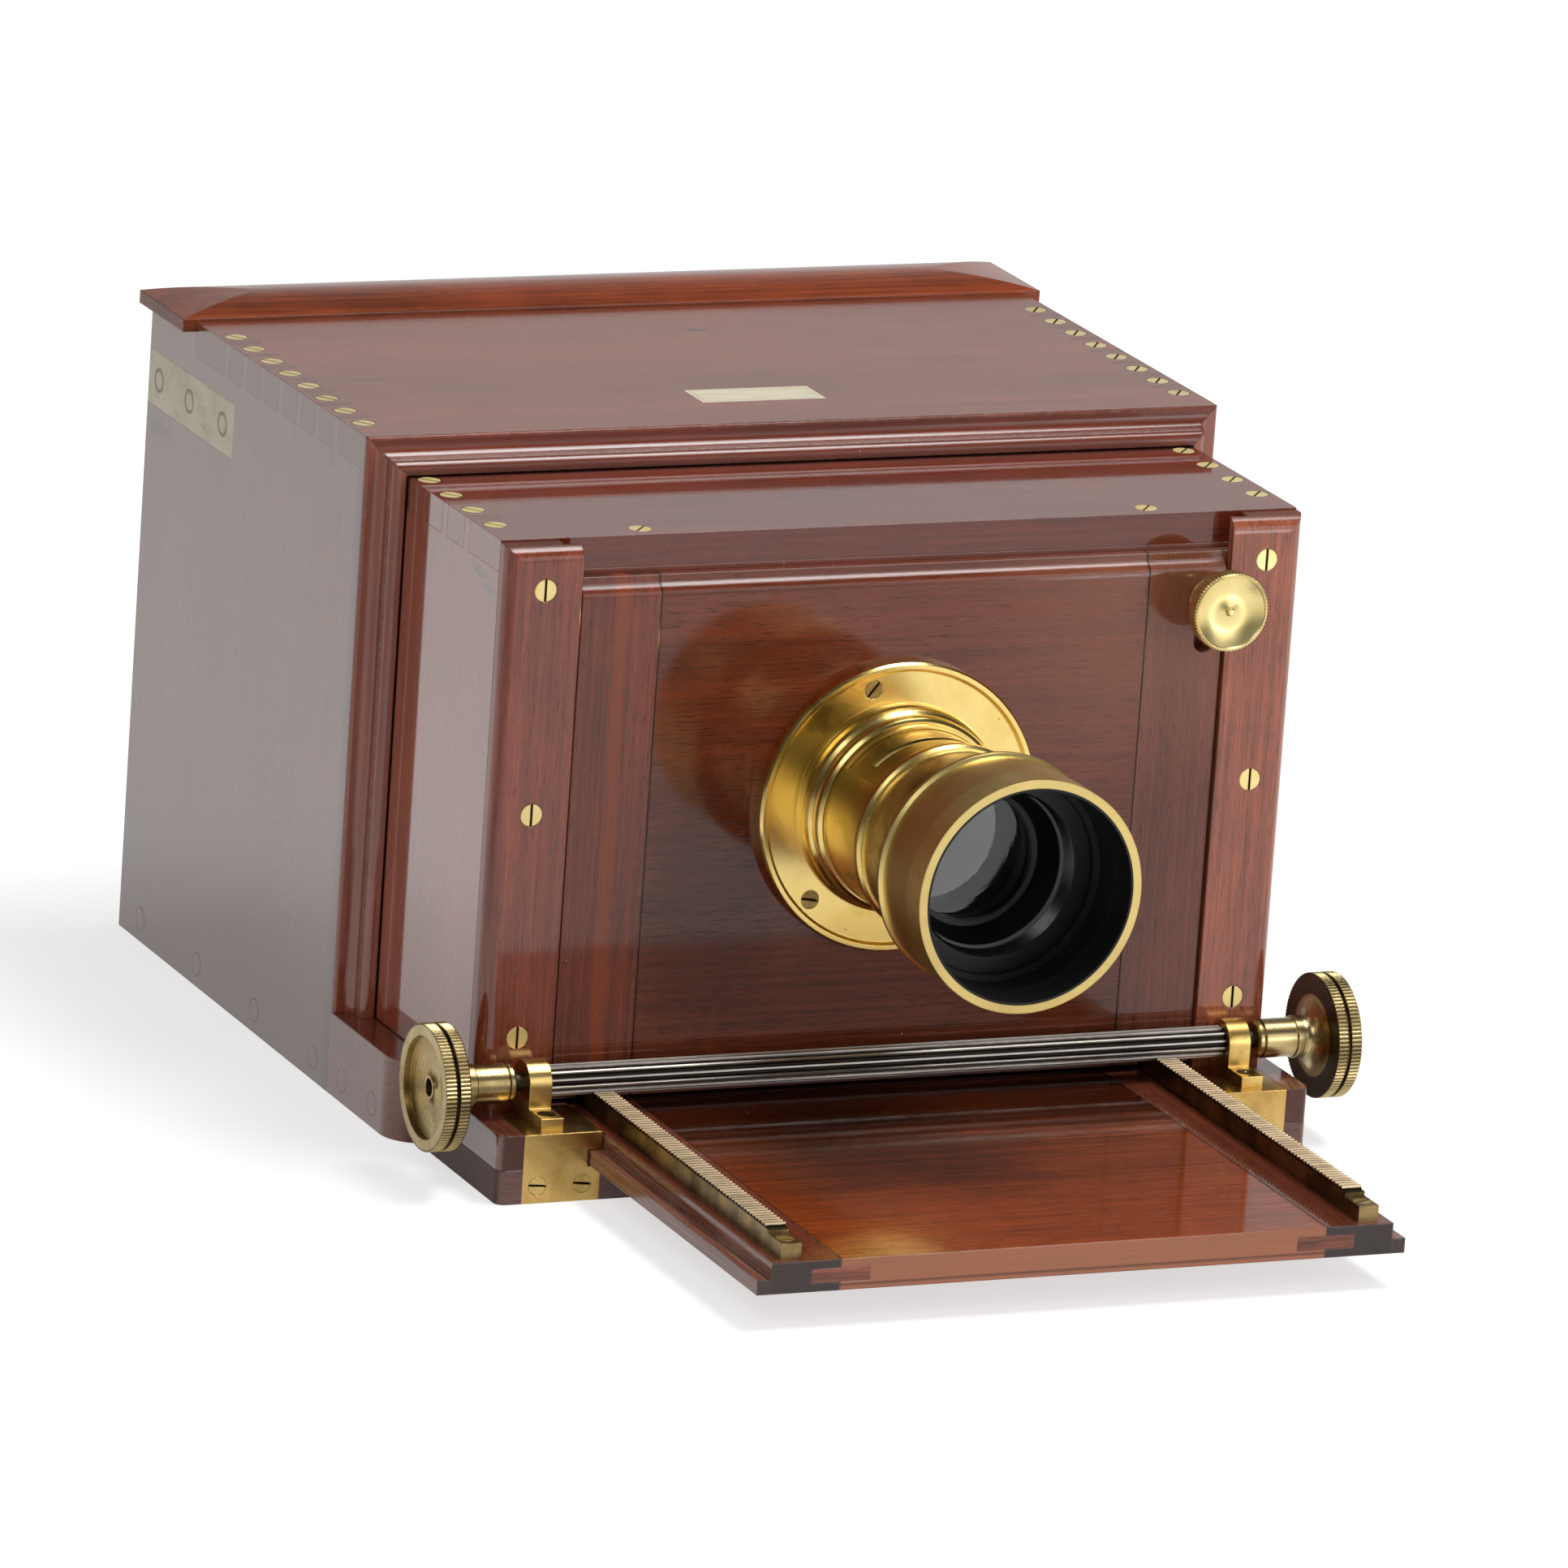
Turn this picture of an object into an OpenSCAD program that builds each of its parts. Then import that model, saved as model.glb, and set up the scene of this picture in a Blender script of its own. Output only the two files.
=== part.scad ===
// Sliding-box plate camera in mahogany and brass, focused by a double rack and pinion.
// The front is -Y, up is +Z, and +X is to the right of someone who faces the lens.
// The origin is the mouth of the tripod bush: the camera stands on z = 0, and y = 0 is
// the front plane of the rear box. Each box is drawn at the focus that the camera is left at.

/* [Rear box] */
// Outer width of the rear box
box_w = 230; // [220:1:240]
// Outer depth of the rear box
box_d = 148; // [142:1:160]
// Height of the rear box
box_h = 167.5; // [162:0.5:175]
// Thickness of the rear box sides
side_t = 8.7; // [8:0.1:9.5]
// Thickness of the rear box top
top_t = 8.5; // [7.5:0.1:10]
// Clearance between the two boxes on each face
slide_gap = 0.3; // [0.2:0.05:0.5]
// How far the moulding round the mouth stands forward
moulding_d = 7; // [6.5:0.1:8]

/* [Rear baseboard] */
// Thickness of the baseboard
base_t = 20.5; // [19.5:0.1:22]
// How far the baseboard runs forward of the rear box
base_nose = 46; // [42:0.5:50]
// Radius of its front corners
base_corner_r = 10; // [6:0.5:12]

/* [Tailboard and racks] */
// Width of the upper step of the tailboard
board_w = 162.4; // [158:0.2:166]
// Thickness of the tailboard
board_t = 7.7; // [7:0.1:8.5]
// Reach of the tailboard in front of the rear box
board_reach = 200.6; // [190:0.2:210]
// Length of tailboard let into the baseboard
board_hold = 36; // [32:0.5:38]
// Width of the tongue along each edge
tongue_w = 3.5; // [2.5:0.1:4]
// Thickness of the tongue
tongue_t = 3.7; // [3:0.1:4.2]
// Width of the clamp at each edge of the tailboard
board_clamp_w = 17.8; // [14:0.2:20]
// Width of the loose spline between board and clamp
spline_w = 15; // [10:0.5:17]
// Thickness of the spline
spline_t = 3.4; // [2.5:0.1:4]
// Width of each rack
rack_w = 5.2; // [4:0.1:6]
// Height of the rack's pitch line above the tailboard
rack_line_h = 5.5; // [4.5:0.1:6]
// Distance from the tailboard's edge to the rack
rack_inset = 3.1; // [2.5:0.1:5]
// Height of the plain block at the front end of each rack
rack_block_h = 3.9; // [3:0.1:4.2]
// Length of that block
rack_block_l = 8; // [6:0.5:12]
// Distance from the tailboard's front edge to the rack
rack_setback = 2.4; // [1:0.1:5]

/* [Pinion] */
// Number of leaves on the pinion
leaves = 12; // [11:1:13]
// Circular pitch of the pinion and the racks
tooth_pitch = 1.8; // [1.7:0.01:1.9]
// Height of a pinion leaf above the pitch circle
leaf_add = 0.45; // [0.38:0.01:0.48]
// Height of a rack tooth above the pitch line
rack_add = 0.4; // [0.3:0.01:0.45]
// Tip and root clearance of the teeth
tooth_clear = 0.14; // [0.1:0.01:0.2]
// Slack between flanks at the pitch line
backlash = 0.28; // [0.26:0.01:0.4]
// Radius of the pinion's journals
journal_r = 2.2; // [1.8:0.05:2.4]
// Running clearance of a journal in its bracket
journal_gap = 0.05; // [0.03:0.01:0.08]

/* [Milled heads] */
// Radius of each milled head
head_r = 15.7; // [14:0.1:17]
// Width of each knurled band
band_w = 2.7; // [2:0.1:3.2]
// Width of the groove between the bands
band_gap = 1; // [0.6:0.1:1.5]
// Number of knurls around a band
knurls = 96; // [80:2:110]
// Depth of the dish in the outer face of each head
dish_t = 3; // [2.4:0.1:3.4]
// Radius of the hub in the middle of the dish
hub_r = 2.9; // [2.7:0.1:3.4]
// Height of that hub
hub_h = 1.5; // [1:0.1:1.8]
// Radius of the neck
neck_r = 4.9; // [4:0.1:5.2]
// Length of the neck
neck_l = 8.3; // [7:0.1:9]
// Length of the flared bell behind the head
bell_l = 6.2; // [5:0.1:7]
// Gap between bracket and collar
collar_gap = 2.9; // [2:0.1:3.5]

/* [Front box] */
// Distance from the rear box to the front face of the cheeks
front_reach = 74; // [70:0.5:80]
// Space left behind the front box when it is pushed right back
back_room = 9; // [4:0.5:14]
// Thickness of the front box sides
front_side_t = 8; // [7:0.1:9]
// Thickness of the front box top
front_top_t = 8; // [7:0.1:9]
// Thickness of the wall behind the lens panel
wall_t = 8; // [7:0.1:9]
// Thickness of the front box floor
floor_t = 6; // [5:0.1:8]
// Thickness of the cheeks beside the lens panel
cheek_t = 6; // [5.5:0.1:6.5]
// Width of the cheeks
cheek_w = 19.5; // [17:0.1:21]
// Radius of the rounded edges of the cheeks
cheek_round = 4; // [2:0.1:4.5]
// Furthest forward focus, from where the box is drawn
focus_out = 70; // [50:1:72]
// Furthest back focus, from where the box is drawn
focus_in = 4.5; // [2:0.1:5]

/* [Front base] */
// How far the front base stands forward of the cheeks
fbase_nose = 22.6; // [21:0.1:26]
// Depth of the front base from front to back
fbase_l = 45.6; // [42:0.1:46]
// How far it stands out on each side of the front box
fbase_over = 2.3; // [1:0.1:2.4]
// Thickness of the plate under the tailboard
fplate_t = 8.6; // [7.5:0.1:9]
// Cover of the rails above the tailboard
fbase_cover = 0.7; // [0.4:0.1:1.2]
// Radius of its front corners
fbase_corner_r = 2.4; // [1.5:0.1:4]
// Clearance of the tailboard in the front base
board_gap = 0.3; // [0.2:0.05:0.5]

/* [Lens panel] */
// Height of the recess above the lens panel
panel_reveal = 11; // [10:0.1:14]
// Thickness of the lens panel
panel_t = 4.8; // [4.4:0.1:5.2]
// Thickness of the tongues that run behind the cheeks
panel_tongue_t = 2.8; // [2.2:0.1:3]
// Width of those tongues
panel_tongue_w = 4.8; // [3:0.1:6]
// Width of each clamp at the panel's ends
panel_clamp_w = 20.8; // [18:0.1:24]
// How far the panel rises
rise = 10.9; // [8:0.1:11]
// Height of the lens above the middle of its panel
lens_raise = 6.1; // [0:0.1:8]

/* [Lens] */
// Radius of the flange
flange_r = 36.7; // [34:0.1:38]
// Thickness of the flange
flange_t = 3.1; // [2.5:0.1:4]
// Radius of the boss on the flange
boss_r = 26.3; // [25.6:0.1:27.5]
// Height of that boss
boss_h = 8.4; // [7:0.1:10]
// Outer radius of the barrel under the sleeve
barrel_r = 22.6; // [21.8:0.1:22.9]
// Wall of the barrel
barrel_wall = 1.8; // [1.4:0.1:2.2]
// Distance from flange rim to the back of the hood
hood_start = 54.2; // [51:0.2:57]
// Length of the hood
hood_l = 25.4; // [20:0.2:30]
// Outer radius of the hood
hood_r = 29.1; // [28.6:0.1:31]
// Wall of the hood
hood_wall = 2.7; // [2.2:0.1:3]
// Thickness of the turning sleeve over the stop slot
sleeve_t = 0.8; // [0.5:0.1:1]
// Angle of the window in the sleeve
window_angle = 108; // [90:1:120]
// Radius of the front glass
glass_r = 16.4; // [14:0.1:17]
// Circle that the flange screws stand on
flange_screw_pcd = 62.6; // [60:0.1:63]
// Angle of the first flange screw from the top, to the right as one faces the camera
flange_screw_turn = -16; // [-30:1:30]

/* [Clamp knob] */
// Radius of the clamp knob
knob_r = 10; // [9:0.1:11]
// Thickness of its milled rim
knob_t = 4.3; // [3.5:0.1:5]
// Height of the knob's face above the panel
knob_stand = 14.6; // [13:0.1:16]
// Depth of the hollow turned in the knob's face
knob_dish_t = 1.6; // [1:0.1:2]
// Distance of the knob in from the edge of the lens panel
knob_x = 4.8; // [3.8:0.1:6.8]
// Distance of the knob below the front box top
knob_drop = 20.7; // [20:0.1:23]
// Radius of the clamp screw
clamp_screw_r = 2.4; // [2:0.1:2.6]

/* [Focusing screen] */
// Depth of the cap over the screen
cap_d = 31.5; // [28:0.5:32]
// Overhang of the cap at each side
cap_over = 3.7; // [2:0.1:5]
// Height of the cap's edge
cap_edge = 3.3; // [2.5:0.1:4.5]
// Height of the cap's edge above the rear box top
cap_proud = 1; // [0.5:0.1:1.5]
// Height of the crown above the cap's edge
cap_crown = 3; // [2:0.1:4]
// Thickness of the frame at the back of the rear box
rear_frame_t = 8; // [7:0.1:9]
// Thickness of the stop in front of the screen
stop_t = 8; // [6:0.1:8.5]
// Width of the screen frame beside the ground glass
screen_stile = 16.3; // [14.5:0.1:20]
// Width of the screen frame above and below it
screen_rail = 16.3; // [14.5:0.1:20]
// Thickness of the ground glass
glass_t = 2.5; // [2:0.1:3]

/* [Fittings] */
// Length of the bone plaque on the rear box
plaque_w = 33.4; // [28:0.2:40]
// Width of the plaque
plaque_l = 12.6; // [10:0.2:16]
// Thickness of the inlaid brass and bone
inlay_t = 1.2; // [1:0.1:1.5]
// Width of the corner plates
plate_w = 20.2; // [19:0.1:21]
// Distance from the side of the front base to its corner plate
plate_edge = 6.4; // [5:0.1:7]
// Thickness of the pinion brackets
bracket_t = 5.8; // [5:0.1:6.5]
// Distance from the inner edge of a corner plate to the middle of its bracket
bracket_x = 12; // [11.3:0.1:13.3]
// Radius of the ring at the top of a bracket
bracket_r = 5.5; // [5:0.1:5.6]
// Length of a bracket's foot in front of its ring
foot_l = 8.3; // [7:0.1:9]
// Thickness of the foot
foot_t = 2.9; // [2.4:0.1:3.5]
// Length of the straps on the rear box
strap_l = 60.5; // [50:0.5:64]
// Height of the straps
strap_h = 14.2; // [12:0.1:16]
// Distance from the rear box top to the middle of a strap
strap_drop = 21.1; // [18:0.1:25]
// Wall of the tripod bush
bush_wall = 3; // [2:0.1:4]
// Width of the flange round the bush
bush_rim = 5; // [4:0.1:6]
// Thickness of that flange
bush_flange_t = 1.6; // [1.2:0.1:2]
// Bore of the tripod bush
bush_bore_r = 4; // [3:0.1:5]
// Depth of that bore
bush_depth = 13; // [10:0.5:15]

/* [Screws] */
// Head radius of the wood screws
screw_r = 2.8; // [2.4:0.1:3]
// Length of the wood screws
screw_l = 11; // [9:0.5:13]
// Head radius of the small screws in the brass
small_screw_r = 2.3; // [1.8:0.1:2.5]
// Length of the small screws
small_screw_l = 7; // [5:0.5:8]
// Clearance round a screw
screw_gap = 0.05; // [0.03:0.01:0.08]
// Spacing of the screws along the rear box top
rear_screw_step = 12.6; // [12:0.1:13]
// Spacing of the screws along the front box top
front_screw_step = 14.4; // [14:0.1:14.8]
// Distance from the middle of the camera to the screws along the front edge
edge_screw_x = 67.5; // [60:0.5:75]
// Distance of those screws from the front edge
edge_screw_in = 5.4; // [4:0.1:6]
// Radius of the wooden pellets over the side screws
pellet_r = 3; // [2.5:0.1:3.5]
// Thickness of the pellets
pellet_t = 2.9; // [2:0.1:3.5]
// Distance of the first pellet from the end of its board
pellet_end = 10; // [8:0.5:14]
// Height of the pellets above the table
pellet_z = 5.8; // [5:0.1:7]

/* [Hidden] */
$fn = 96;
// Overshoot of a cut past a face
cut = 1;

// Colours
mahogany = [0.34, 0.13, 0.09];
mahogany_dark = [0.22, 0.09, 0.07];
mahogany_red = [0.45, 0.16, 0.08];
brass = [0.80, 0.64, 0.33];
brass_old = [0.55, 0.44, 0.24];
steel = [0.38, 0.35, 0.33];
bone = [0.90, 0.86, 0.74];
glass_tint = [0.62, 0.66, 0.66, 0.6];

// Rear box
half_w = box_w / 2;
in_half = half_w - side_t;
top_under = box_h - top_t;
cap_y = box_d - cap_d;
cap_seat = box_h + cap_proud - cap_edge;
frame_y = box_d - rear_frame_t;
strap_mid = box_h - strap_drop;
plaque_y = 26.5;

// Focusing screen
screen_y = cap_y + 0.3;
screen_t = frame_y - cap_y - 0.6;
screen_half = in_half - 0.4;
screen_under = base_t + 0.3;
glass_edge = 4;
view_w = 2 * (in_half - screen_stile);
view_h = cap_seat - base_t - 2 * screen_rail;
view_z = (base_t + cap_seat) / 2;

// Tripod bush
bush_r = bush_bore_r + bush_wall;
bush_h = bush_depth + 2;
bush_flange_r = bush_r + bush_rim;

// Front box
front_half = in_half - slide_gap;
front_h = top_under - slide_gap;
front_top_under = front_h - front_top_t;
wall_y = -(front_reach - cheek_t);
front_back = cap_y - stop_t - focus_in - back_room;
side_under = base_t + slide_gap;
cheek_in = front_half - cheek_w;
front_in = front_half - front_side_t;

// Front base and tailboard
fbase_half = front_half + fbase_over;
fbase_front = -(front_reach + fbase_nose);
fbase_back = fbase_front + fbase_l;
board_under = fplate_t + board_gap;
board_top = board_under + board_t;
tongue_top = board_under + tongue_t;
fbase_h = board_top + fbase_cover;
board_half = board_w / 2;
tongue_half = board_half + tongue_w;
board_front = -board_reach;
board_back = -base_nose + board_hold;
board_join = board_half - board_clamp_w;
channel_half = board_half + board_gap + 0.2;
groove_half = tongue_half + board_gap + 0.1;
spline_z = board_under + (board_t - spline_t) / 2;
// Corner plates keep to the front base's sides, but never stand in the tailboard's channel
plate_in = max(channel_half, fbase_half - plate_edge - plate_w);
plate_out = plate_in + plate_w;
bracket_mid = plate_in + bracket_x;

// Pinion and racks
pitch_r = leaves * tooth_pitch / (2 * PI);
pinion_z = board_top + rack_line_h + pitch_r;
pinion_y = -(front_reach + bracket_r + 0.3);
leaf_tip_r = pitch_r + leaf_add;
leaf_root_r = pitch_r - rack_add - tooth_clear;
tooth_w = tooth_pitch / 2 - backlash / 2;
rack_tip = pinion_z - pitch_r + rack_add;
rack_root = pinion_z - leaf_tip_r - tooth_clear;
rack_in = board_half - rack_inset - rack_w;
rack_front = board_front + rack_setback;
rack_back = wall_y - 3.5;
shaft_half = bracket_mid - bracket_t / 2 - 0.3;
collar_x = bracket_mid + bracket_t / 2 + collar_gap;
collar_l = 2;
bell_x = collar_x + collar_l + neck_l;
head_back = bell_x + bell_l;
head_t = 2 * band_w + band_gap;
head_front = head_back + head_t;

// Front box floor and the notches that clear the racks
notch_top = rack_tip + 1.2;
floor_z = notch_top;
notch_gap = 1;

// Lens panel: its face lies a millimetre behind the cheeks
panel_back = wall_y - 0.2;
panel_face = panel_back - panel_t;
tongue_face = panel_back - panel_tongue_t;
panel_half = cheek_in - 0.7;
panel_tongue_half = panel_half + panel_tongue_w;
panel_join = panel_half - panel_clamp_w;
panel_under = fbase_h + 1.2;
panel_top = front_h - panel_reveal;
panel_h = panel_top - panel_under;
panel_lift = 1.7;
panel_round = 3.5;
slot_r = clamp_screw_r + 0.3;
knob_z = front_h - knob_drop;
knob_mid = panel_half - knob_x;

// Lens, with s measured forward from the face of the flange
lens_z = panel_under + panel_h / 2 + lens_raise;
flange_face = panel_face - flange_t;
rim_y = flange_face - 0.9;
ring_s = 28.7;
ring_w = 3.9;
ring_r = barrel_r + 1.9;
bore_r = barrel_r - barrel_wall;
neck_s_r = barrel_r + 0.5;
nose_r = barrel_r + 2.9;
nose_seat = nose_r - 0.6;
hood_seat = nose_seat + 0.02;
sleeve_r = barrel_r + 0.08;

// Screws and pins
screw_y0 = 12.7;
rear_screws = 1 + floor((cap_y - 12 - screw_y0) / rear_screw_step);
screw_x = in_half + side_t / 2 - 0.2;
front_screw_x = front_half - front_side_t / 2 - 0.2;
front_screw_y0 = wall_y + 14.2;
front_screws = 1 + floor((front_back - 4 - front_screw_y0) / front_screw_step);
pin_w = 3.4;
pin_taper = 0.5;
pin_root = 0.5;

// Extrude a (y, z) outline along X
module along_x(x0, l) {
    translate([x0, 0, 0]) rotate([90, 0, 90]) linear_extrude(l) children();
}

// Extrude an (x, z) outline along Y
module along_y(y0, l) {
    translate([0, y0 + l, 0]) rotate([90, 0, 0]) linear_extrude(l) children();
}

// A block between two corners
module block(a, b) {
    translate(a) cube(b - a);
}

// The same piece on the other side of the camera
module on_side(side) {
    if (side > 0) children();
    else mirror([1, 0, 0]) children();
}

// The waste outside a rounded corner whose tip is at the origin and whose body is at +x, +y
module corner_waste(r) {
    difference() {
        translate([-cut, -cut]) square(r + cut);
        translate([r, r]) circle(r);
    }
}

// Outline of a board from y0 to y1 with rounded corners at the front
module nosed_outline(half, y0, y1, r) {
    difference() {
        translate([-half, y0]) square([2 * half, y1 - y0]);
        for (m = [0, 1]) mirror([m, 0]) translate([-half, y0]) corner_waste(r);
    }
}

// A countersunk screw whose head lies at the origin and faces +Z
module screw(r, l, turn = 0, slot = true) {
    shank = r * 0.5;
    difference() {
        rotate_extrude($fn = 40)
            polygon([[0, 0], [r, 0], [r, -0.4], [shank, -0.4 - (r - shank)], [shank, -l], [0, -l]]);
        if (slot) rotate([0, 0, turn]) cube([3 * r, 0.6, 1.4], center = true);
    }
}

// The hole that such a screw sits in
module screw_hole(r, l) {
    shank = r * 0.5 + screw_gap;
    big = r + screw_gap;
    rotate_extrude($fn = 40)
        polygon([[0, cut], [big, cut], [big, -0.4 - screw_gap], [shank, -0.4 - screw_gap - (big - shank)],
                 [shank, -l - 0.3], [0, -l - 0.3]]);
}

// Turn a piece that faces +Z to face the front or the side
module face_front() {
    rotate([90, 0, 0]) children();
}

module face_right() {
    rotate([0, 90, 0]) children();
}

// Dovetail pins that rise from a side through a top board, one between each pair of screws
module pins(x0, t, z0, z1, y_first, step, count) {
    for (k = [0 : count - 2])
        translate([x0, y_first + step * (k + 0.5), z0 - pin_root]) linear_extrude(z1 - z0 + pin_root)
            polygon([[0, -pin_w / 2 + pin_taper], [t, -pin_w / 2], [t, pin_w / 2], [0, pin_w / 2 - pin_taper]]);
}

module rear_pins() {
    pins(in_half, side_t, top_under, box_h, screw_y0, rear_screw_step, rear_screws);
}

module front_pins() {
    pins(front_half - front_side_t, front_side_t, front_top_under, front_h,
         front_screw_y0, front_screw_step, front_screws);
}

// Places of the fasteners
module at_rear_top_screws() {
    for (m = [0, 1], k = [0 : rear_screws - 1])
        mirror([m, 0, 0]) translate([screw_x, screw_y0 + k * rear_screw_step, box_h]) children();
}

module at_front_top_screws() {
    for (m = [0, 1], k = [0 : front_screws - 1])
        mirror([m, 0, 0])
            translate([front_screw_x, front_screw_y0 + k * front_screw_step, front_h]) children();
    for (m = [-1, 1]) translate([m * edge_screw_x, wall_y + edge_screw_in, front_h]) children();
}

module at_pellets() {
    box_ys = [for (k = [0 : 3]) pellet_end + k * (box_d - 2.5 * pellet_end) / 3];
    for (m = [0, 1], y = concat(box_ys, [0, 2] * pellet_end - [1, 1] * (base_nose - 1.6 * pellet_end)))
        mirror([m, 0, 0]) translate([half_w, y, pellet_z]) face_right() children();
}

module at_strap_screws() {
    for (m = [0, 1], f = [0.13, 0.52, 0.88])
        mirror([m, 0, 0]) translate([half_w, box_d - strap_l * (1 - f), strap_mid]) face_right() children();
}

module at_cheek_screws() {
    for (m = [0, 1], f = [0.22, 0.574, 0.928])
        mirror([m, 0, 0])
            translate([cheek_in + cheek_w / 2 - 0.2, -front_reach, f * front_h]) face_front()
                children();
}

module at_plate_screws() {
    for (m = [0, 1], x = [4.5, 16.2])
        mirror([m, 0, 0]) translate([plate_in + x, fbase_front, 4.4]) face_front() children();
}

module at_foot_screws() {
    for (m = [0, 1])
        mirror([m, 0, 0])
            translate([bracket_mid, pinion_y - bracket_r - foot_l / 2, fbase_h + foot_t]) children();
}

module at_flange_screws() {
    for (k = [0 : 2])
        translate([0, flange_face, lens_z]) rotate([0, flange_screw_turn - k * 120, 0])
            translate([0, 0, flange_screw_pcd / 2]) face_front() children();
}

module at_rack_screws() {
    for (m = [0, 1])
        mirror([m, 0, 0])
            translate([rack_in + rack_w / 2, rack_front + rack_block_l / 2, board_top + rack_block_h])
                children();
}

// Rear box sides, with pins that come up through the top
module rear_side(side) {
    color(mahogany) on_side(side) difference() {
        union() {
            along_x(in_half, side_t)
                polygon([[0, 0], [box_d, 0], [box_d, cap_seat - 0.2], [cap_y, cap_seat - 0.2],
                         [cap_y, top_under], [0, top_under]]);
            rear_pins();
        }
        block([half_w - inlay_t, box_d - strap_l, strap_mid - strap_h / 2],
              [half_w + cut, box_d + cut, strap_mid + strap_h / 2]);
        at_strap_screws() screw_hole(small_screw_r, small_screw_l);
        at_pellets() translate([0, 0, -pellet_t - 0.1]) cylinder(r = pellet_r, h = pellet_t + 0.1 + cut);
        at_rear_top_screws() screw_hole(screw_r, screw_l);
    }
}
module rear_side_left() { rear_side(-1); }
module rear_side_right() { rear_side(1); }

module rear_top() {
    color(mahogany) difference() {
        block([-half_w, 0, top_under], [half_w, cap_y, box_h]);
        for (m = [0, 1]) mirror([m, 0, 0]) rear_pins();
        at_rear_top_screws() screw_hole(screw_r, screw_l);
        plaque_block(inlay_t, cut);
    }
}

module plaque_block(t, over) {
    block([-plaque_w / 2, plaque_y - plaque_l / 2, box_h - t], [plaque_w / 2, plaque_y + plaque_l / 2, box_h + over]);
}

module inlaid_plaque() { color(bone) plaque_block(inlay_t, 0); }

module rear_top_screws() {
    color(brass) at_rear_top_screws() screw(screw_r, screw_l, 55);
}

module side_pellets() {
    color(mahogany_dark) at_pellets() translate([0, 0, -pellet_t])
        cylinder(r = pellet_r - screw_gap, h = pellet_t);
}

// Baseboard, open at the front for the tailboard's end
module rear_baseboard() {
    color(mahogany_dark) difference() {
        linear_extrude(base_t) intersection() {
            nosed_outline(half_w, -base_nose, box_d, base_corner_r);
            translate([-in_half, -base_nose]) square([2 * in_half, base_nose + box_d]);
        }
        block([-board_half, -base_nose - cut, tongue_top], [board_half, board_back, base_t + cut]);
        block([-tongue_half, -base_nose - cut, board_under], [tongue_half, board_back, tongue_top]);
        translate([0, 0, -cut]) cylinder(r = bush_flange_r, h = bush_flange_t + cut);
        translate([0, 0, -cut]) cylinder(r = bush_r, h = bush_h + cut);
    }
}

module base_lipping(side) {
    color(mahogany) on_side(side) difference() {
        linear_extrude(base_t) intersection() {
            nosed_outline(half_w, -base_nose, box_d, base_corner_r);
            translate([in_half, -base_nose]) square([side_t, base_nose]);
        }
        at_pellets() translate([0, 0, -pellet_t - 0.1]) cylinder(r = pellet_r, h = pellet_t + 0.1 + cut);
    }
}
module base_lipping_left() { base_lipping(-1); }
module base_lipping_right() { base_lipping(1); }

module tripod_bush() {
    color(brass) difference() {
        union() {
            cylinder(r = bush_r, h = bush_h);
            cylinder(r = bush_flange_r, h = bush_flange_t);
        }
        translate([0, 0, -cut]) cylinder(r = bush_bore_r, h = bush_depth + cut);
    }
}

// Section of the mouth moulding: u runs inward across it and v forward
cove_r = 2.8;
bead_r = 2.1;
cove_u = 2.2;
cove_v = moulding_d - cove_r - bead_r - 0.8;
function cove_points() = [for (a = [0 : 10 : 90]) [cove_u + cove_r * sin(a), cove_v + cove_r * (1 - cos(a))]];
function bead_points(u1) = [for (a = [0 : 10 : 90]) [u1 - 1.2 - bead_r * cos(a), moulding_d - bead_r * (1 - sin(a))]];
function moulding_section(u1) = concat(
    [[0, 0], [0, cove_v - 0.7], [0.25, cove_v - 0.25], [0.7, cove_v]],
    cove_points(), [[cove_u + cove_r, moulding_d - bead_r]], bead_points(u1), [[u1, moulding_d], [u1, 0]]);

module mouth_moulding_top() {
    color(mahogany_dark) intersection() {
        along_x(-half_w, box_w) polygon([for (p = moulding_section(top_t)) [-p[1], box_h - p[0]]]);
        along_y(-moulding_d - cut, moulding_d + 2 * cut)
            polygon([[-half_w, box_h], [half_w, box_h], [in_half, top_under], [-in_half, top_under]]);
    }
}

module mouth_moulding_side(side) {
    color(mahogany_dark) on_side(side) intersection() {
        translate([0, 0, base_t]) linear_extrude(box_h - base_t)
            polygon([for (p = moulding_section(side_t)) [half_w - p[0], -p[1]]]);
        along_y(-moulding_d - cut, moulding_d + 2 * cut)
            polygon([[in_half, base_t], [half_w, base_t], [half_w, box_h], [in_half, top_under]]);
    }
}
module mouth_moulding_left() { mouth_moulding_side(-1); }
module mouth_moulding_right() { mouth_moulding_side(1); }

// Frames that the screen slides between
module window_frame(y0, t, half, z0, z1, w, h) {
    difference() {
        block([-half, y0, z0], [half, y0 + t, z1]);
        block([-w / 2, y0 - cut, view_z - h / 2], [w / 2, y0 + t + cut, view_z + h / 2]);
    }
}

module screen_stop() {
    color(mahogany_dark)
        window_frame(cap_y - stop_t, stop_t, in_half, base_t, top_under, view_w + 10, view_h + 10);
}

module rear_frame() {
    color(mahogany_dark) window_frame(frame_y, rear_frame_t, in_half, base_t, cap_seat - 0.2, view_w + 4, view_h + 4);
}

module strap(side) {
    color(brass_old) on_side(side) difference() {
        block([half_w - inlay_t, box_d - strap_l, strap_mid - strap_h / 2],
              [half_w, box_d, strap_mid + strap_h / 2]);
        at_strap_screws() screw_hole(small_screw_r, small_screw_l);
    }
}
module strap_left() { strap(-1); }
module strap_right() { strap(1); }

module strap_screws() {
    color(brass_old) at_strap_screws() screw(small_screw_r, small_screw_l, 0, false);
}

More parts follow.
